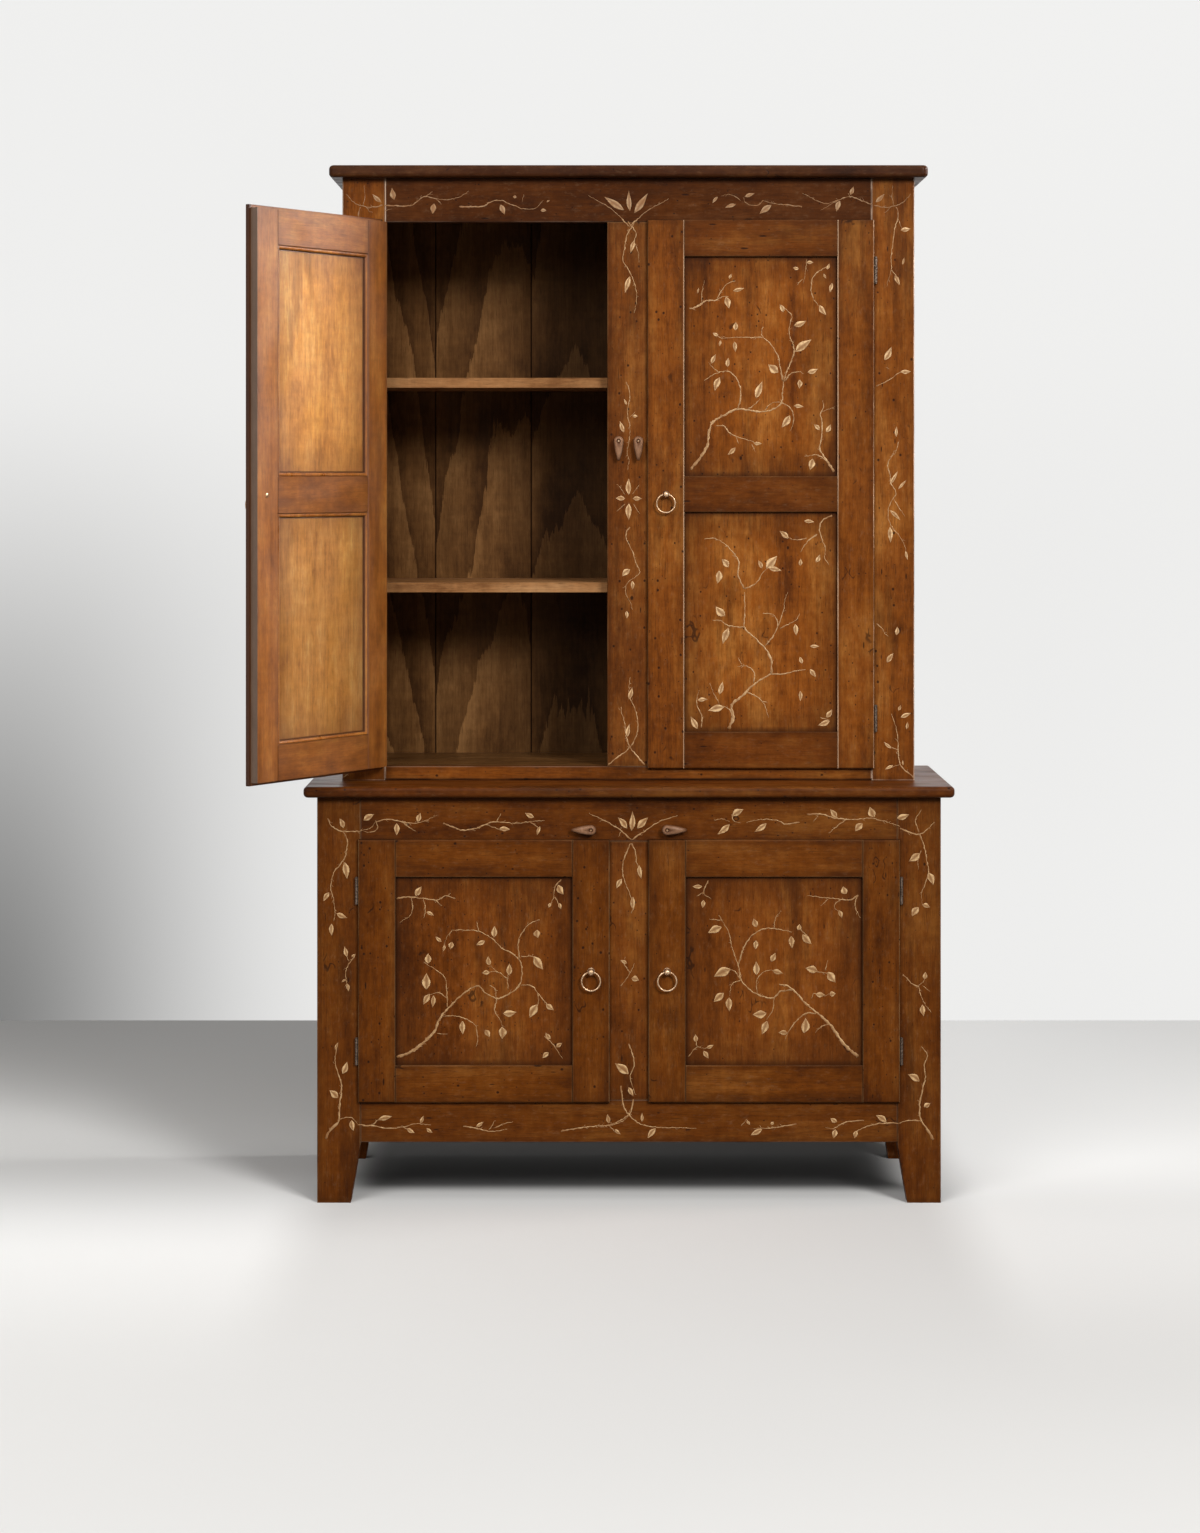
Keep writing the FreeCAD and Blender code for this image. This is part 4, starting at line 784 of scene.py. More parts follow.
def cut_figure(s, grain, across, along, board, board_width, shift):
    """The jagged hills that a saw leaves on the face of a wide board."""
    turn = s.math("FRACT", s.math("MULTIPLY", board, 0.618))
    middle = s.math("MULTIPLY", s.math("ADD", board, s.span(turn, 0.0, 1.0, 0.1, 0.9)), board_width)
    bow = s.math("POWER", s.math("ABSOLUTE", s.math("SUBTRACT", across, middle)), 2.0)
    drift = pattern(s, "drift", grain, shift)
    jag = pattern(s, "jag", grain, shift)
    phase = s.weigh((along, 2.7), (bow, 72.0), (drift, 1.7), (jag, 0.32), (turn, 1.0))
    return s.math("FRACT", phase)


def edge_finish(s, colour, depths, scuff_glints, scuff_and_glint, outer, glaze_colour, glazing, wander, patch):
    """Glaze left in the corners of a piece, and its arrises rubbed through with a painted highlight, on its
    outer side.
    """
    glaze, width, edge_glaze = glazing
    for depth in depths[:2]:
        dark = s.span(s.math("ADD", depth, wander), 0.0, width, glaze, 0.0)
        dark = s.math("MAXIMUM", dark, s.span(depth, *CORNER_LINE, edge_glaze, 0.0))
        wide = s.math("ADD", depth, s.math("MULTIPLY", wander, 4.0))
        dark = s.math("MAXIMUM", dark, s.span(wide, 0.0, 4 * width, glaze * 0.5, 0.0))
        colour = s.mix(dark, colour, glaze_colour)
    # Pale arris lines, partly wear and partly a painted highlight
    for depth, scuff_glint in zip(depths, scuff_glints):
        arris = s.math("ADD", s.math("MAXIMUM", depth, depths[2]), s.math("MULTIPLY", wander, 0.25))
        line = s.span(arris, *ARRIS, scuff_glint, 0.0)
        line = s.math("MULTIPLY", line, s.span(patch, 0.36, 0.60, 0.25, 1.0))
        if outer is not None:
            line = s.math("MULTIPLY", line, outer)
        colour = s.mix(line, colour, scuff_and_glint)
    return colour


def knocks(s, grain, shift):
    """Where the wood is marked: worm holes, dents along the grain and a few winding tracks."""
    winding = pattern(s, "track", grain, shift)
    winding = s.math("ABSOLUTE", s.math("SUBTRACT", winding, 0.5))
    place = pattern(s, "track_place", grain, shift)
    marks = s.math("MULTIPLY", s.span(winding, 0.012, 0.035, 0.8, 0.0), s.span(place, 0.66, 0.70))
    for scale, radius, share in MARKS:
        away, cell = s.cells(s.scaled(grain, scale, shift))
        chosen = s.math("LESS_THAN", s.separate(cell)[0], share)
        grown = s.math("MULTIPLY", s.separate(cell)[1], radius)
        hole = s.math("SUBTRACT", 1.0, s.span(away, s.math("MULTIPLY", grown, 0.5), grown))
        marks = s.math("MAXIMUM", marks, s.math("MULTIPLY", chosen, hole))
    return marks


def metal(name, dark, pale, rough, scale=260.0):
    """Aged metal, brown and rougher in some patches and bright in others."""
    s = Shader(name)
    place = s.node("TexCoord").outputs["Object"]
    tarnish = s.noise(s.scaled(place, (scale, scale, scale)), 5.0, 0.65)
    fine = s.noise(s.scaled(place, (2400.0, 2400.0, 2400.0)), 2.0)
    colour = s.mix(s.span(tarnish, 0.34, 0.66), dark, pale)
    roughness = s.span(tarnish, 0.3, 0.7, rough + 0.18, rough)
    return s.finish(colour, roughness, fine, 0.00004, Metallic=1.0)


def paint(name, pale, shaded_above=None):
    """Thin hand-laid cream paint, browner where it is rubbed, and darkened by a painted shadow above a height
    under the crown. The meshes carry how pale each stroke is.
    """
    s = Shader(name)
    place = s.node("TexCoord").outputs["Object"]
    stroke = s.node("Attribute", attribute_name="pale").outputs["Fac"]
    brush = s.noise(s.scaled(place, (900.0, 900.0, 900.0)), 3.0, 0.6)
    thin = s.noise(s.scaled(place, (110.0, 110.0, 110.0)), 4.0, 0.6)
    level = s.math("ADD", stroke, s.math("MULTIPLY", s.math("SUBTRACT", brush, 0.5), 0.7))
    colour = s.mix(s.span(level, 0.05, 0.95), [c * share for c, share in zip(pale, WORN_PAINT)], pale)
    if shaded_above is not None:
        # Painted shadow: the paint darkens above this height, in the crown's shade over the top rail
        crown_shadow = s.span(s.separate(place)[2], shaded_above, shaded_above + 0.012, 0.0, 0.62)
        colour = s.mix(crown_shadow, colour, SHADED_PAINT)
    colour = s.mix(s.span(thin, 0.36, 0.62, 0.62, 0.0), colour, THIN_PAINT)
    return s.finish(colour, 0.52, brush, 0.0001, Specular_IOR_Level=0.14)


def dress(node, material):
    """Gives a node of the construction one material."""
    NODES[node].data.materials.clear()
    NODES[node].data.materials.append(material)


def shut_box(node):
    """A node's box along X, Y and Z. The open door's pieces are read from their closed right twins."""
    if node.startswith("upper_left_door"):
        low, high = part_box(node.replace("upper_left", "upper_right"))
        return (-high.x, -low.x), (low.y, high.y), (low.z, high.z)
    low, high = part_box(node)
    return (low.x, high.x), (low.y, high.y), (low.z, high.z)


def dress_frames():
    """Case frames, sides and boards."""
    for side in ("right", "left"):
        node = f"base_front_{side}_leg"
        x, y, z = shut_box(node)
        dress(node, wood(f"leg_{side}", "base_frame", "upright", [x], [z], [y], 0.45, 0.2, scuff_and_glint=TAN_EDGE))
        node = f"upper_{side}_stile"
        x, y, z = shut_box(node)
        dress(node, wood(f"upper_stile_{side}", "upper", "upright", [x], [z], [y], 0.7, 0.2))
        for case in ("base", "upper"):
            node = f"{case}_{side}_side"
            x, y, z = shut_box(node)
            dress(node, wood(f"{case}_side_{side}", "base", "side", [y], [z], [x], 0.2, 0.2))
    dress("base_rear_legs", wood("rear_legs", "worktop", "upright"))
    middle = [(-CENTRE_STILE, CENTRE_STILE)]
    for case, tone, z in (("base", "base", BASE_OPENING_Z), ("upper", "centre", UPPER_OPENING_Z)):
        node = f"{case}_centre_stile"
        y = shut_box(node)[1]
        dress(node, wood(f"{case}_middle", tone, "upright", middle, [z], [y], 0.3, 0.2, 0.45, scuff_and_glint=TAN_EDGE))
    for case, half, tone, scuff_glint in (("base", BASE_OPENING_X, "base_frame", 0.05),
                                   ("upper", UPPER_OPENING_X, "upper", 0.8)):
        for place in ("top", "bottom"):
            node = f"{case}_{place}_rail"
            _, y, z = shut_box(node)
            # The upper case's top rail takes a darker tone: a painted shadow under the crown
            shade = "top_rail" if node == "upper_top_rail" else tone
            # The upper case's bottom rail gets a dark line along its lower edge: a painted shadow over the
            # worktop
            line = (z[0], DARK_GLAZE, 1.0, 0.006) if node == "upper_bottom_rail" else None
            dress(node, wood(node, shade, "cross", [z], [(-half, half)], [y], 0.12, scuff_glint, joint=line))
    for node, tone in (("crown_board", "crown"), ("worktop", "worktop")):
        x, y, z = shut_box(node)
        dress(node, wood(node, tone, "shelf", [y], [x], [z], 0.45, 0.45, 0.2, edge_glaze=0.1, scuff_and_glint=TAN_EDGE,
                         rough=0.34, sheen=0.07))
    dress("upper_shelves", wood("shelf_wood", "shelf", "shelf", marked=False))
    dress("base_shelf", wood("base_shelf", "boards", "shelf", marked=False))
    dress("upper_floor", wood("upper_floor", "boards", "shelf", rough=0.3))
    dress("base_floor", wood("base_floor", "boards", "shelf"))
    dress("shelf_cleats", wood("cleats", "boards", "cleat", marked=False))
    for case in ("base", "upper"):
        node = f"{case}_back_boards"
        dress(node, wood(f"{case}_boards", "boards", "upright", faces=[shut_box(node)[1]],
                         board_width=BOARD_WIDTH, rough=0.45, marked=False))


def door_panels(door):
    """The heights that a door's rails and panels span."""
    z = shut_box(f"{door}_lock_stile")[2]
    rails = [(z[0], z[0] + DOOR_RAIL), (z[1] - DOOR_RAIL, z[1])]
    if door.startswith("upper"):
        middle = (z[0] + z[1]) / 2
        rails.insert(1, (middle - DOOR_MIDDLE_RAIL / 2, middle + DOOR_MIDDLE_RAIL / 2))
    return rails, [(low[1], high[0]) for low, high in zip(rails, rails[1:])]


def panel_span(door):
    """Where a door's panels lie across, between its stiles."""
    left, right = sorted(shut_box(f"{door}_{part}")[0] for part in ("lock_stile", "hinge_stile"))
    return left[1], right[0]


def dress_doors():
    """Stiles, rails and panels of the four doors, darker outside than inside."""
    # Upper doors get a pale joint line, wear with a painted highlight on the arris; lower doors get a dark
    # one
    for level, front, tone, scuff_glint, joint in (("upper", UPPER_FRONT, "upper", 0.5, (WARM_EDGE, 0.85, 0.0024)),
                                            ("lower", BASE_FRONT, "base", 0.7, (DARK_GLAZE, 0.8, 0.0024))):
        for side in ("right", "left"):
            door = f"{level}_{side}_door"
            swung = door == "upper_left_door"
            gloss, sheen = (0.36, 0.42) if swung else (0.38, 0.045)
            finish = {"swung": swung, "rough": gloss, "sheen": sheen}
            inner = ("inside_frame", 1, front - LIP_BACK, 1.0)
            panel_inner = ("inside", 1, front + DOOR_MIDDLE, 1.0)
            stile_tone, rail_tone = ("upper", "rail") if level == "upper" else ("base_door", "base_door")
            between = panel_span(door)
            _, y, z = shut_box(f"{door}_lock_stile")
            for part in ("lock_stile", "hinge_stile"):
                node = f"{door}_{part}"
                x = shut_box(node)[0]
                edge, rim = (between[0], x[0]) if x[1] <= between[0] else (between[1], x[1])
                # An upper door's hinge stile has the palest edge: wear and a painted highlight where it
                # catches the light
                scuffed_and_lit = (level, part) == ("upper", "hinge_stile")
                edge_scuff, scuff_and_glint = (0.9, WARM_EDGE) if scuffed_and_lit else (scuff_glint, TAN_EDGE)
                dress(node, wood(node, stile_tone, "upright", [x], [z], [y], edge_scuff, 0.1 * scuff_glint, edge_glaze=0.9,
                                 scuff_and_glint=scuff_and_glint, joint=(edge, *joint), rebate=rim, back=inner, **finish))
            rails, panels = door_panels(door)
            node = f"{door}_rails"
            dress(node, wood(node, rail_tone, "cross", rails, [between], [y], 0.3 * scuff_glint, 0.2 * scuff_glint,
                             scuff_and_glint=TAN_EDGE, back=inner, **finish))
            node = f"{door}_panels"
            dress(node, wood(node, tone, "upright", [between], panels, [y], 0.0, 0.0, 0.75, 0.022, bead=True,
                             low_shade=0.72, back=panel_inner, **finish))


class Sculpt:
    """A mesh built up from closed pieces, with a paleness for each vertex."""

    def __init__(self):
        self.mesh = bmesh.new()
        self.pale = self.mesh.verts.layers.float.new("pale")

    def rings(self, rings, closed=False, pale=None):
        """Skins rings of points, capped at the ends or closed on themselves."""
        made = []
        for ring in rings:
            made.append([self.mesh.verts.new(point) for point in ring])
        for ring, values in zip(made, pale or ()):
            for vertex, value in zip(ring, values):
                vertex[self.pale] = value
        pairs = list(zip(made, made[1:]))
        if closed:
            pairs.append((made[-1], made[0]))
        count = len(made[0])
        for first, second in pairs:
            for index in range(count):
                after = (index + 1) % count
                self.mesh.faces.new((first[index], first[after], second[after], second[index]))
        if not closed:
            self.mesh.faces.new(made[0])
            self.mesh.faces.new(made[-1])

    def piece(self, name, body, material, place=None, smooth=True):
        bmesh.ops.recalc_face_normals(self.mesh, faces=self.mesh.faces)
        if place is not None:
            bmesh.ops.transform(self.mesh, matrix=place, verts=self.mesh.verts)
        data = bpy.data.meshes.new(name)
        self.mesh.to_mesh(data)
        self.mesh.free()
        data.materials.append(material)
        if smooth:
            data.shade_smooth()
        made = bpy.data.objects.new(name, data)
        bpy.context.scene.collection.objects.link(made)
        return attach(made, body)


def lathe(sculpt, profile, centre, steps):
    """A turning about a line along Y, from pairs of radius and Y."""
    rings = []
    for radius, y in profile:
        turns = [2 * math.pi * step / steps for step in range(steps)]
        rings.append([centre + Vector((radius * math.cos(t), y, radius * math.sin(t))) for t in turns])
    sculpt.rings(rings)


def smooth_path(points, step=0.004):
    """Points along a smooth line through a few given ones."""
    chain = [2 * points[0] - points[1], *points, 2 * points[-1] - points[-2]]
    path = []
    for a, b, c, d in zip(chain, chain[1:], chain[2:], chain[3:]):
        count = max(2, round((c - b).length / step))
        for t in (index / count for index in range(count)):
            bend = (2 * a - 5 * b + 4 * c - d) * t + (3 * b - a - 3 * c + d) * t * t
            path.append(b + ((c - a) + bend) * t / 2)
    return [*path, points[-1]]


def on_front(point, front, rise, flip):
    """A point of the drawing on a front, proud of it by its rise, or its mirror image."""
    return Vector((-point.x if flip else point.x, front - rise, point.y))


def window_scale(window, front):
    """Millimetres on a front of the cupboard for each pixel of a window."""
    return 1000 * (front - CAMERA.y) / FOCAL_PIXELS / WINDOWS[window][2]


def laid(window, front, across, down):
    """A reading in a window as whole millimetres across and up a front of the cupboard."""
    left, top, enlarged = WINDOWS[window]
    scale = window_scale(window, front)
    x = 1000 * CAMERA.x + (across + (left - VANISHING[0]) * enlarged) * scale
    z = 1000 * CAMERA.z - (down + (top - VANISHING[1]) * enlarged) * scale
    return round(x), round(z)


def stems_on(carrier, front):
    """A carrier's stems: width at the root and at the tip, then points, in millimetres on its front."""
    for window, stems in STEMS[carrier].items():
        for root, tip, *points in stems:
            yield root, tip, *(laid(window, front, *point) for point in points)


def leaves_on(carrier, front):
    """A carrier's leaves: root, tip and width, in millimetres on its front."""
    for window, leaves in LEAVES[carrier].items():
        for *ends, width in leaves:
            root, tip = laid(window, front, *ends[:2]), laid(window, front, *ends[2:])
            yield *root, *tip, round(width * window_scale(window, front))


def add_stem(sculpt, stem, front, flip, spurs=True):
    """A brushed line that thins towards its tip, paler on its upper right side as a painted highlight, with
    small thorny spurs.
    """
    root, tip, *points = stem
    root *= ROOT_GROWTH if root >= STOUT_ROOT else 1.0
    path = smooth_path([Vector(point) / 1000 for point in points])
    rings, pale = [], []
    for index, here in enumerate(path):
        ahead = path[min(index + 1, len(path) - 1)] - path[max(index - 1, 0)]
        side = Vector((-ahead.y, ahead.x)).normalized()
        width = (root + (tip - root) * index / (len(path) - 1)) * STROKE * chance.uniform(*SWELL) / 2000
        here = here + side * chance.uniform(-WANDER, WANDER)
        rings.append([on_front(here + side * width * away, front, rise, flip) for away, rise in STEM_SECTION])
        # Painted highlight on the stem's upper right side
        lit = side.dot(LIT_SIDE)
        fade = min(1.0, 0.3 + 4.0 * index / len(path))
        pale.append([fade * (0.44 + 0.52 * away * lit) for away, _ in STEM_SECTION])
        if spurs and 1 < index < len(path) - 2 and chance.random() < SPUR_SHARE:
            lean = ahead.normalized() + side * chance.choice((-SPUR_LEAN, SPUR_LEAN))
            end = here + lean * chance.uniform(*SPUR_LENGTH)
            add_stem(sculpt, (*SPUR_WIDTHS, here * 1000, end * 1000), front, flip, False)
    sculpt.rings(rings, pale=pale)


def add_leaf(sculpt, leaf, front, flip):
    """An almond leaf with a dark vein, one half paler than the other."""
    root, tip = Vector(leaf[:2]) / 1000, Vector(leaf[2:4]) / 1000
    along = tip - root
    side = Vector((-along.y, along.x)).normalized() * leaf[4] * LEAF_GROWTH / 2000
    bend = chance.uniform(-LEAF_BEND, LEAF_BEND)
    rings, pale = [], []
    for t, share in LEAF_OUTLINE:
        centre = root + along * t + side * bend * math.sin(math.pi * t)
        rings.append([on_front(centre + side * share * away, front, rise, flip)
                      for away, rise, _ in LEAF_SECTION])
        pale.append([value for _, _, value in LEAF_SECTION])
    sculpt.rings(rings, pale=pale)


def paint_vines():
    """The painted vines, one piece for each case and door."""
    upper_paint = paint("upper_vine_paint", UPPER_PAINT, UPPER_OPENING_Z[1])
    base_paint = paint("base_vine_paint", BASE_PAINT)
    upper_panel, lower_panel = UPPER_FRONT - PANEL_FACE, BASE_FRONT - PANEL_FACE
    right, both = (False,), (False, True)
    upper_carriers = (("upper_case", right), ("upper_right_stile", both))
    for name, body, front, carriers, place in (
        ("vines_upper_case", "carcass", UPPER_FRONT, upper_carriers, None),
        ("vines_base_case", "carcass", BASE_FRONT, (("base_case", right),), None),
        ("vines_upper_right_door", "upper_right_door", upper_panel, (("upper_door", right),), None),
        ("vines_upper_left_door", "upper_left_door", upper_panel, (("upper_door", (True,)),), open_place()),
        ("vines_lower_left_door", "lower_left_door", lower_panel, (("lower_left_door", right),), None),
        ("vines_lower_right_door", "lower_right_door", lower_panel, (("lower_right_door", right),), None),
    ):
        sculpt = Sculpt()
        for carrier, flips in carriers:
            for flip in flips:
                for stem in stems_on(carrier, front):
                    add_stem(sculpt, stem, front, flip)
                for leaf in leaves_on(carrier, front):
                    add_leaf(sculpt, leaf, front, flip)
        sculpt.piece(name, body, upper_paint if "upper" in name else base_paint, place)


def add_beads():
    """A rounded bead round the inner side of each door panel."""
    for level, front in (("upper", UPPER_FRONT), ("lower", BASE_FRONT)):
        for side in ("right", "left"):
            door = f"{level}_{side}_door"
            swung = door == "upper_left_door"
            left, right = panel_span(door)
            sculpt = Sculpt()
            for low, high in door_panels(door)[1]:
                rings = []
                for x, z, to_x, to_z in ((left, low, 1, 1), (right, low, -1, 1), (right, high, -1, -1),
                                         (left, high, 1, -1)):
                    rings.append([Vector((x + to_x * inset, front + lift, z + to_z * inset))
                                  for inset, lift in BEAD])
                sculpt.rings(rings, closed=True, pale=[BEAD_PALE] * len(rings))
            material = wood(f"{door}_beads", "inside_frame", "upright", swung=swung, rough=0.3, sheen=0.4,
                            marked=False, worked=True)
            place = open_place() if swung else None
            bead = sculpt.piece(f"{door}_beads", door, material, place, smooth=False)


def add_pulls(brass):
    """Turned ball posts with an eye, and the rings that hang in them."""
    for door in ("upper_right_door", "upper_left_door", "lower_right_door", "lower_left_door"):
        side = -1 if "left" in door else 1
        pivot = JOINTS[door.replace("left", "right").replace("door", "ring_swing")]["pos_m"]
        ball = Vector((side * pivot[0], pivot[1], pivot[2]))
        place = open_place() if door == "upper_left_door" else None

        back = BALL_STANDOFF + DOOR_THICKNESS
        profile = [(radius, back + beyond) for radius, beyond in RIVET]
        profile += [(SHANK, back), (SHANK, BALL_STANDOFF), *ROSE]
        for step in range(BALL_STEPS):
            turn = math.radians(BALL_START - BALL_STEP * step)
            profile.append((max(BALL_RADIUS * math.cos(turn), BALL_POLE), BALL_RADIUS * math.sin(turn)))
        sculpt = Sculpt()
        lathe(sculpt, profile, ball, POST_STEPS)
        post = sculpt.piece(f"{door}_ball_post", door, brass, place)
        eye = Sculpt()
        turns = [2 * math.pi * step / EYE_STEPS for step in range(EYE_STEPS)]
        eye.rings([[ball + Vector((x, EYE_RADIUS * math.cos(t), EYE_RADIUS * math.sin(t))) for t in turns]
                   for x in (-EYE_REACH, EYE_REACH)])
        pierce(post, eye, place)
        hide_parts(f"{door}_pull_post")

        sculpt = Sculpt()
        centre = ball - Vector((0, 0, RING_RADIUS))
        wire = [2 * math.pi * step / WIRE_STEPS for step in range(WIRE_STEPS)]
        rings = []
        for step in range(RING_STEPS):
            turn = 2 * math.pi * step / RING_STEPS
            out = Vector((math.cos(turn), 0, math.sin(turn)))
            rings.append([centre + out * (RING_RADIUS + RING_WIRE * math.cos(t))
                          + Vector((0, RING_WIRE * math.sin(t), 0)) for t in wire])
        sculpt.rings(rings, closed=True)
        ring = sculpt.piece(f"{door}_ring", door.replace("door", "ring"), brass, place)
        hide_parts(f"{door}_pull_ring")


def teardrop():
    """Points round a turn button in its own plane, pointing along its first axis from the pivot."""
    tip_x = BUTTON_REACH - BUTTON_TIP
    turn = math.acos((BUTTON_HALF - BUTTON_TIP) / tip_x)
    points = []
    for step in range(END_STEPS + 1):
        t = turn + (2 * math.pi - 2 * turn) * step / END_STEPS
        points.append(Vector((BUTTON_HALF * math.cos(t), BUTTON_HALF * math.sin(t))))
    tip = []
    for step in range(TIP_STEPS + 1):
        t = -turn + 2 * turn * step / TIP_STEPS
        tip.append(Vector((tip_x + BUTTON_TIP * math.cos(t), BUTTON_TIP * math.sin(t))))
    out = Vector((math.cos(turn), -math.sin(turn))) * BUTTON_BULGE
    flank = []
    for step in range(1, FLANK_STEPS):
        share = step / FLANK_STEPS
        flank.append(points[-1].lerp(tip[0], share) + out * math.sin(math.pi * share))
    return [*points, *flank, *tip, *(Vector((p.x, -p.y)) for p in reversed(flank))]


def add_buttons():
    """Turn buttons carved to a full teardrop, bored for their screws."""
    outline = teardrop()
    for door in ("upper_right", "upper_left", "lower_right", "lower_left"):
        node = f"{door}_turn_button"
        low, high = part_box(node)
        pivot = Vector(JOINTS[f"{node}_turn"]["pos_m"])
        reach = (low + high) / 2 - pivot
        forward = Vector((reach.x, 0, reach.z)).normalized()
        aside = Vector((0, 1, 0)).cross(forward)
        thick = high.y - low.y
        bore = ((BUTTON_SEAT, low.y), (BUTTON_SEAT, low.y + BUTTON_SINK), (BUTTON_BORE, low.y + BUTTON_SINK),
                (BUTTON_BORE, high.y))
        # The dome stays pale on its crest and gets painted shade towards its rim and in its bore
        pale = [[paleness] * len(outline) for _, _, paleness in BUTTON_DOME]
        pale += [[BORE_PALE] * len(outline)] * len(bore)
        rings = []
        for share, rise, _ in BUTTON_DOME:
            ring = []
            for point in outline:
                taper = 1.0 - BUTTON_TAPER * max(0.0, share * point.x / BUTTON_REACH) ** 1.5
                lift = Vector((0, high.y - pivot.y - thick * rise * taper, 0))
                ring.append(pivot + lift + (forward * point.x + aside * point.y) * share)
            rings.append(ring)
        for radius, y in bore:
            ring = []
            for point in outline:
                round_bore = point.normalized() * radius
                ring.append(Vector((pivot.x, y, pivot.z)) + forward * round_bore.x + aside * round_bore.y)
            rings.append(ring)
        sculpt = Sculpt()
        sculpt.rings(rings, closed=True, pale=pale)
        material = wood(f"{node}_wood", "button", "upright", rough=0.20, sheen=0.12, marked=False,
                        worked=True)
        button = sculpt.piece(f"{node}_drop", node, material)
        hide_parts(node)


def pierce(piece, sculpt, place):
    """Cuts a closed shape out of a piece's mesh."""
    bmesh.ops.recalc_face_normals(sculpt.mesh, faces=sculpt.mesh.faces)
    if place is not None:
        bmesh.ops.transform(sculpt.mesh, matrix=place, verts=sculpt.mesh.verts)
    data = bpy.data.meshes.new("tool")
    sculpt.mesh.to_mesh(data)
    sculpt.mesh.free()
    tool = bpy.data.objects.new("tool", data)
    bpy.context.scene.collection.objects.link(tool)
    cutter = piece.modifiers.new("eye", "BOOLEAN")
    cutter.operation, cutter.solver, cutter.object = "DIFFERENCE", "EXACT", tool
    bpy.context.view_layer.update()
    cut_mesh = bpy.data.meshes.new_from_object(piece.evaluated_get(bpy.context.evaluated_depsgraph_get()))
    piece.modifiers.clear()
    piece.data = cut_mesh
    bpy.data.objects.remove(tool)


def open_place():
    """The move from the closed to the open place of the upper left door."""
    return Matrix.Translation(OPEN_PIN) @ Matrix.Rotation(-OPEN_ANGLE, 4, "Z") @ Matrix.Translation(-OPEN_PIN)


def add_camera():
    """The photograph's level camera, shifted so that its vanishing point lies where the photograph has it."""
    data = bpy.data.cameras.new("photo_camera")
    data.sensor_width = SENSOR
    data.lens = SENSOR * FOCAL_PIXELS / PHOTO_HEIGHT
    data.shift_x = (PHOTO_WIDTH / 2 - VANISHING[0]) / PHOTO_HEIGHT
    data.shift_y = (VANISHING[1] - PHOTO_HEIGHT / 2) / PHOTO_HEIGHT
    camera = bpy.data.objects.new("photo_camera", data)
    camera.location = CAMERA
    camera.rotation_euler = (math.pi / 2, 0, 0)
    bpy.context.scene.collection.objects.link(camera)
    bpy.context.scene.camera = camera


def seen_directly(s):
    """Whether a ray is the eye's, or goes to it by a mirror or through glass."""
    rays = s.node("LightPath").outputs
    seen = s.math("ADD", rays["Is Camera Ray"], rays["Is Glossy Ray"])
    return s.math("ADD", seen, rays["Is Transmission Ray"], clamp=True)


def wall_glow(s, x, y, z):
    """The wall's glow, seen as lit evenly, with a painted shade in its low left corner, and no shade on it.
    """
    low_left_shade = s.math("MULTIPLY", s.span(x, -1.75, -0.7, 0.60, 0.0), s.span(z, 0.0, 1.9, 1.0, 0.0))
    return s.math("SUBTRACT", s.span(z, 0.2, 1.6, 0.745, 0.695), low_left_shade), 0.0


def floor_glow(s, x, y, z):
    """Painted light that lifts the floor beside the cupboard, apart from its shadow on the left, and a
    painted shadow under it.
    """
    away = s.math("ABSOLUTE", x)
    shadow = s.math("MAXIMUM", s.span(y, -0.40, 0.15, 1.0, 0.0), s.math("GREATER_THAN", x, 0.0))
    lit_near = s.math("MULTIPLY", s.span(away, 0.56, 0.74, 0.0, 0.19), s.span(y, -1.7, -0.3))
    # Painted light on the floor to the right of the cupboard
    right = s.math("MULTIPLY", s.span(x, 0.58, 0.74), s.span(x, 0.8, 1.7, 0.18, 0.08))
    right = s.math("MULTIPLY", right, s.span(y, -0.35, 0.25))
    # Painted shadow on the floor under the cupboard
    shadow_below = s.math("MULTIPLY", s.span(y, -0.16, -0.05), s.span(y, 0.45, 0.80, 1.0, 0.0))
    shadow_below = s.math("MULTIPLY", shadow_below, s.span(away, 0.50, 0.62, 0.8, 0.0))
    return s.math("ADD", s.math("MULTIPLY", lit_near, shadow), right), shadow_below


def plane(name, corners, colour, share, bounce, glow):
    """A stage surface, pale to the eye, that sends little light back to the object.

    share is how much of the lamps' light on it is seen, the rest is its glow. It is clear from behind, so
    that a wall never hides the object.
    """
    data = bpy.data.meshes.new(name)
    data.from_pydata(corners, [], [(0, 1, 2, 3)])
    s = Shader(name)
    place = s.node("TexCoord").outputs["Object"]
    cloud = s.noise(s.scaled(place, (1.3, 1.3, 1.3)), 4.0)
    seen = seen_directly(s)
    pale = s.mix(cloud, [c * share * 0.975 for c in colour], [c * share for c in colour])
    tint = s.mix(seen, [c * bounce for c in colour], pale)
    lift, shade = glow(s, *s.separate(place))
    # Painted shadow: the surface goes black where its glow function gives shade
    tint = s.mix(shade, tint, (0.0, 0.0, 0.0))
    lift = s.math("MULTIPLY", lift, seen)
    material = s.finish(tint, 0.75, one_sided=True, Specular_IOR_Level=0.08,
                        Emission_Color=(1.0, 1.0, 0.99, 1.0), Emission_Strength=lift)
    data.materials.append(material)
    made = bpy.data.objects.new(name, data)
    bpy.context.scene.collection.objects.link(made)


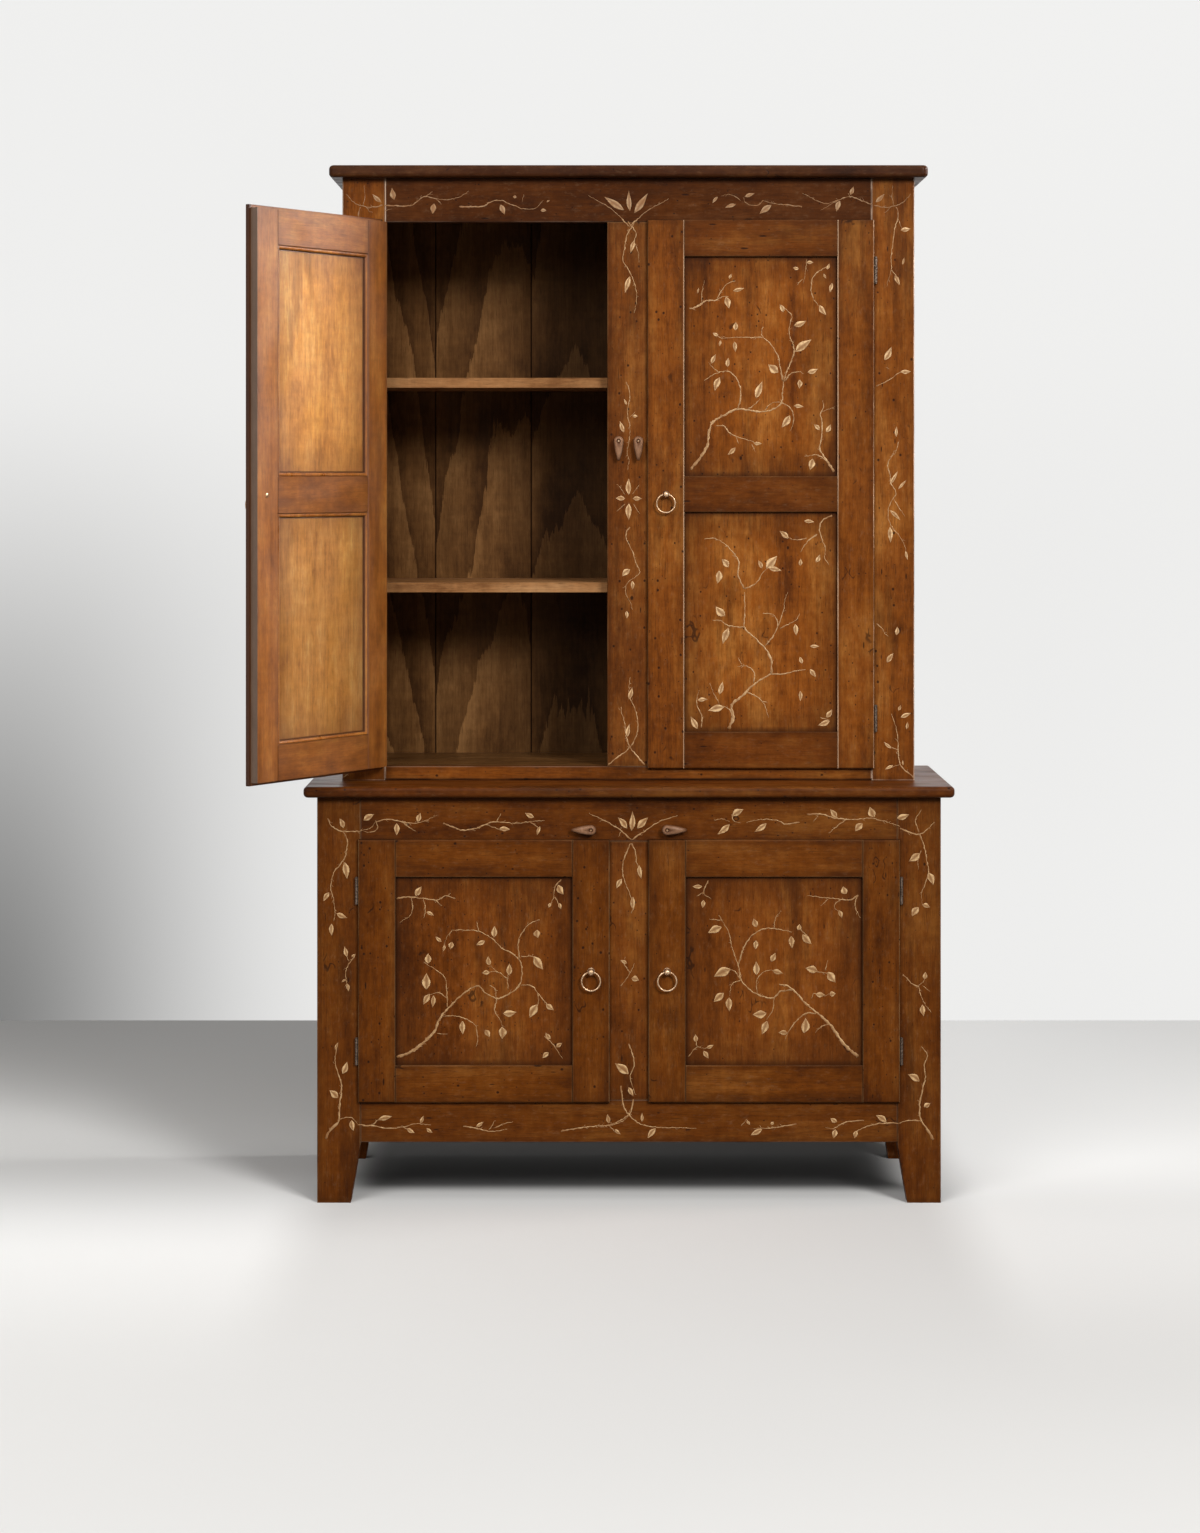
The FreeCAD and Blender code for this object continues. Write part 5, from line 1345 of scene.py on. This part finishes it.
def add_lamp(name, place, target, size, power, spread):
    """A soft lamp turned towards its target."""
    data = bpy.data.lights.new(name, "AREA")
    data.shape = "ELLIPSE"
    data.size, data.size_y = size
    data.energy = power
    data.spread = math.radians(spread)
    lamp = bpy.data.objects.new(name, data)
    lamp.location = place
    lamp.rotation_euler = (Vector(target) - Vector(place)).to_track_quat("-Z", "Y").to_euler()
    bpy.context.scene.collection.objects.link(lamp)


def add_studio():
    """A pale floor and wall, the lamps and an even white surround."""
    side, reach = STAGE_SIDE, STAGE_REACH
    floor = [(-side, -reach, 0), (side, -reach, 0), (side, reach, 0), (-side, reach, 0)]
    wall = [(-side, WALL_Y, 0), (side, WALL_Y, 0), (side, WALL_Y, WALL_HEIGHT), (-side, WALL_Y, WALL_HEIGHT)]
    plane("floor", floor, (0.80, 0.79, 0.77), share=0.98, bounce=0.12, glow=floor_glow)
    plane("wall", wall, (0.82, 0.82, 0.81), share=0.2, bounce=0.06, glow=wall_glow)
    for name, settings in LAMPS.items():
        add_lamp(name, *settings)
    s = Shader("studio", "worlds")
    background = s.node("Background")
    s.put(background.inputs["Color"], (1.0, 1.0, 1.0, 1.0))
    s.put(background.inputs["Strength"], s.span(seen_directly(s), 0.0, 1.0, 0.13, 0.80))
    s.put(s.node("OutputWorld").inputs["Surface"], background.outputs[0])
    bpy.context.scene.world = s.holder
    bpy.context.scene.view_settings.view_transform = "Standard"


def dress_hardware():
    """Brass pulls and screws, browned hinges, and the wood of the turn buttons and their spacers."""
    brass = metal("aged_brass", (0.24, 0.13, 0.065), (0.62, 0.43, 0.27), 0.26)
    iron = metal("browned_iron", (0.035, 0.022, 0.015), (0.15, 0.110, 0.085), 0.42)
    for node in NODES:
        if node.endswith(("pull_ring", "pull_post")) or node == "turn_button_screws":
            dress(node, brass)
        elif "hinge_leaves" in node or node in ("hinge_frame_leaves", "hinge_pins"):
            dress(node, iron)
        elif "turn_button" in node:
            dress(node, wood(node, "button", "upright", rough=0.26, sheen=0.45, marked=False))
    add_pulls(brass)
    add_buttons()


dress_frames()
dress_doors()
dress_hardware()
add_beads()
paint_vines()
add_camera()
add_studio()
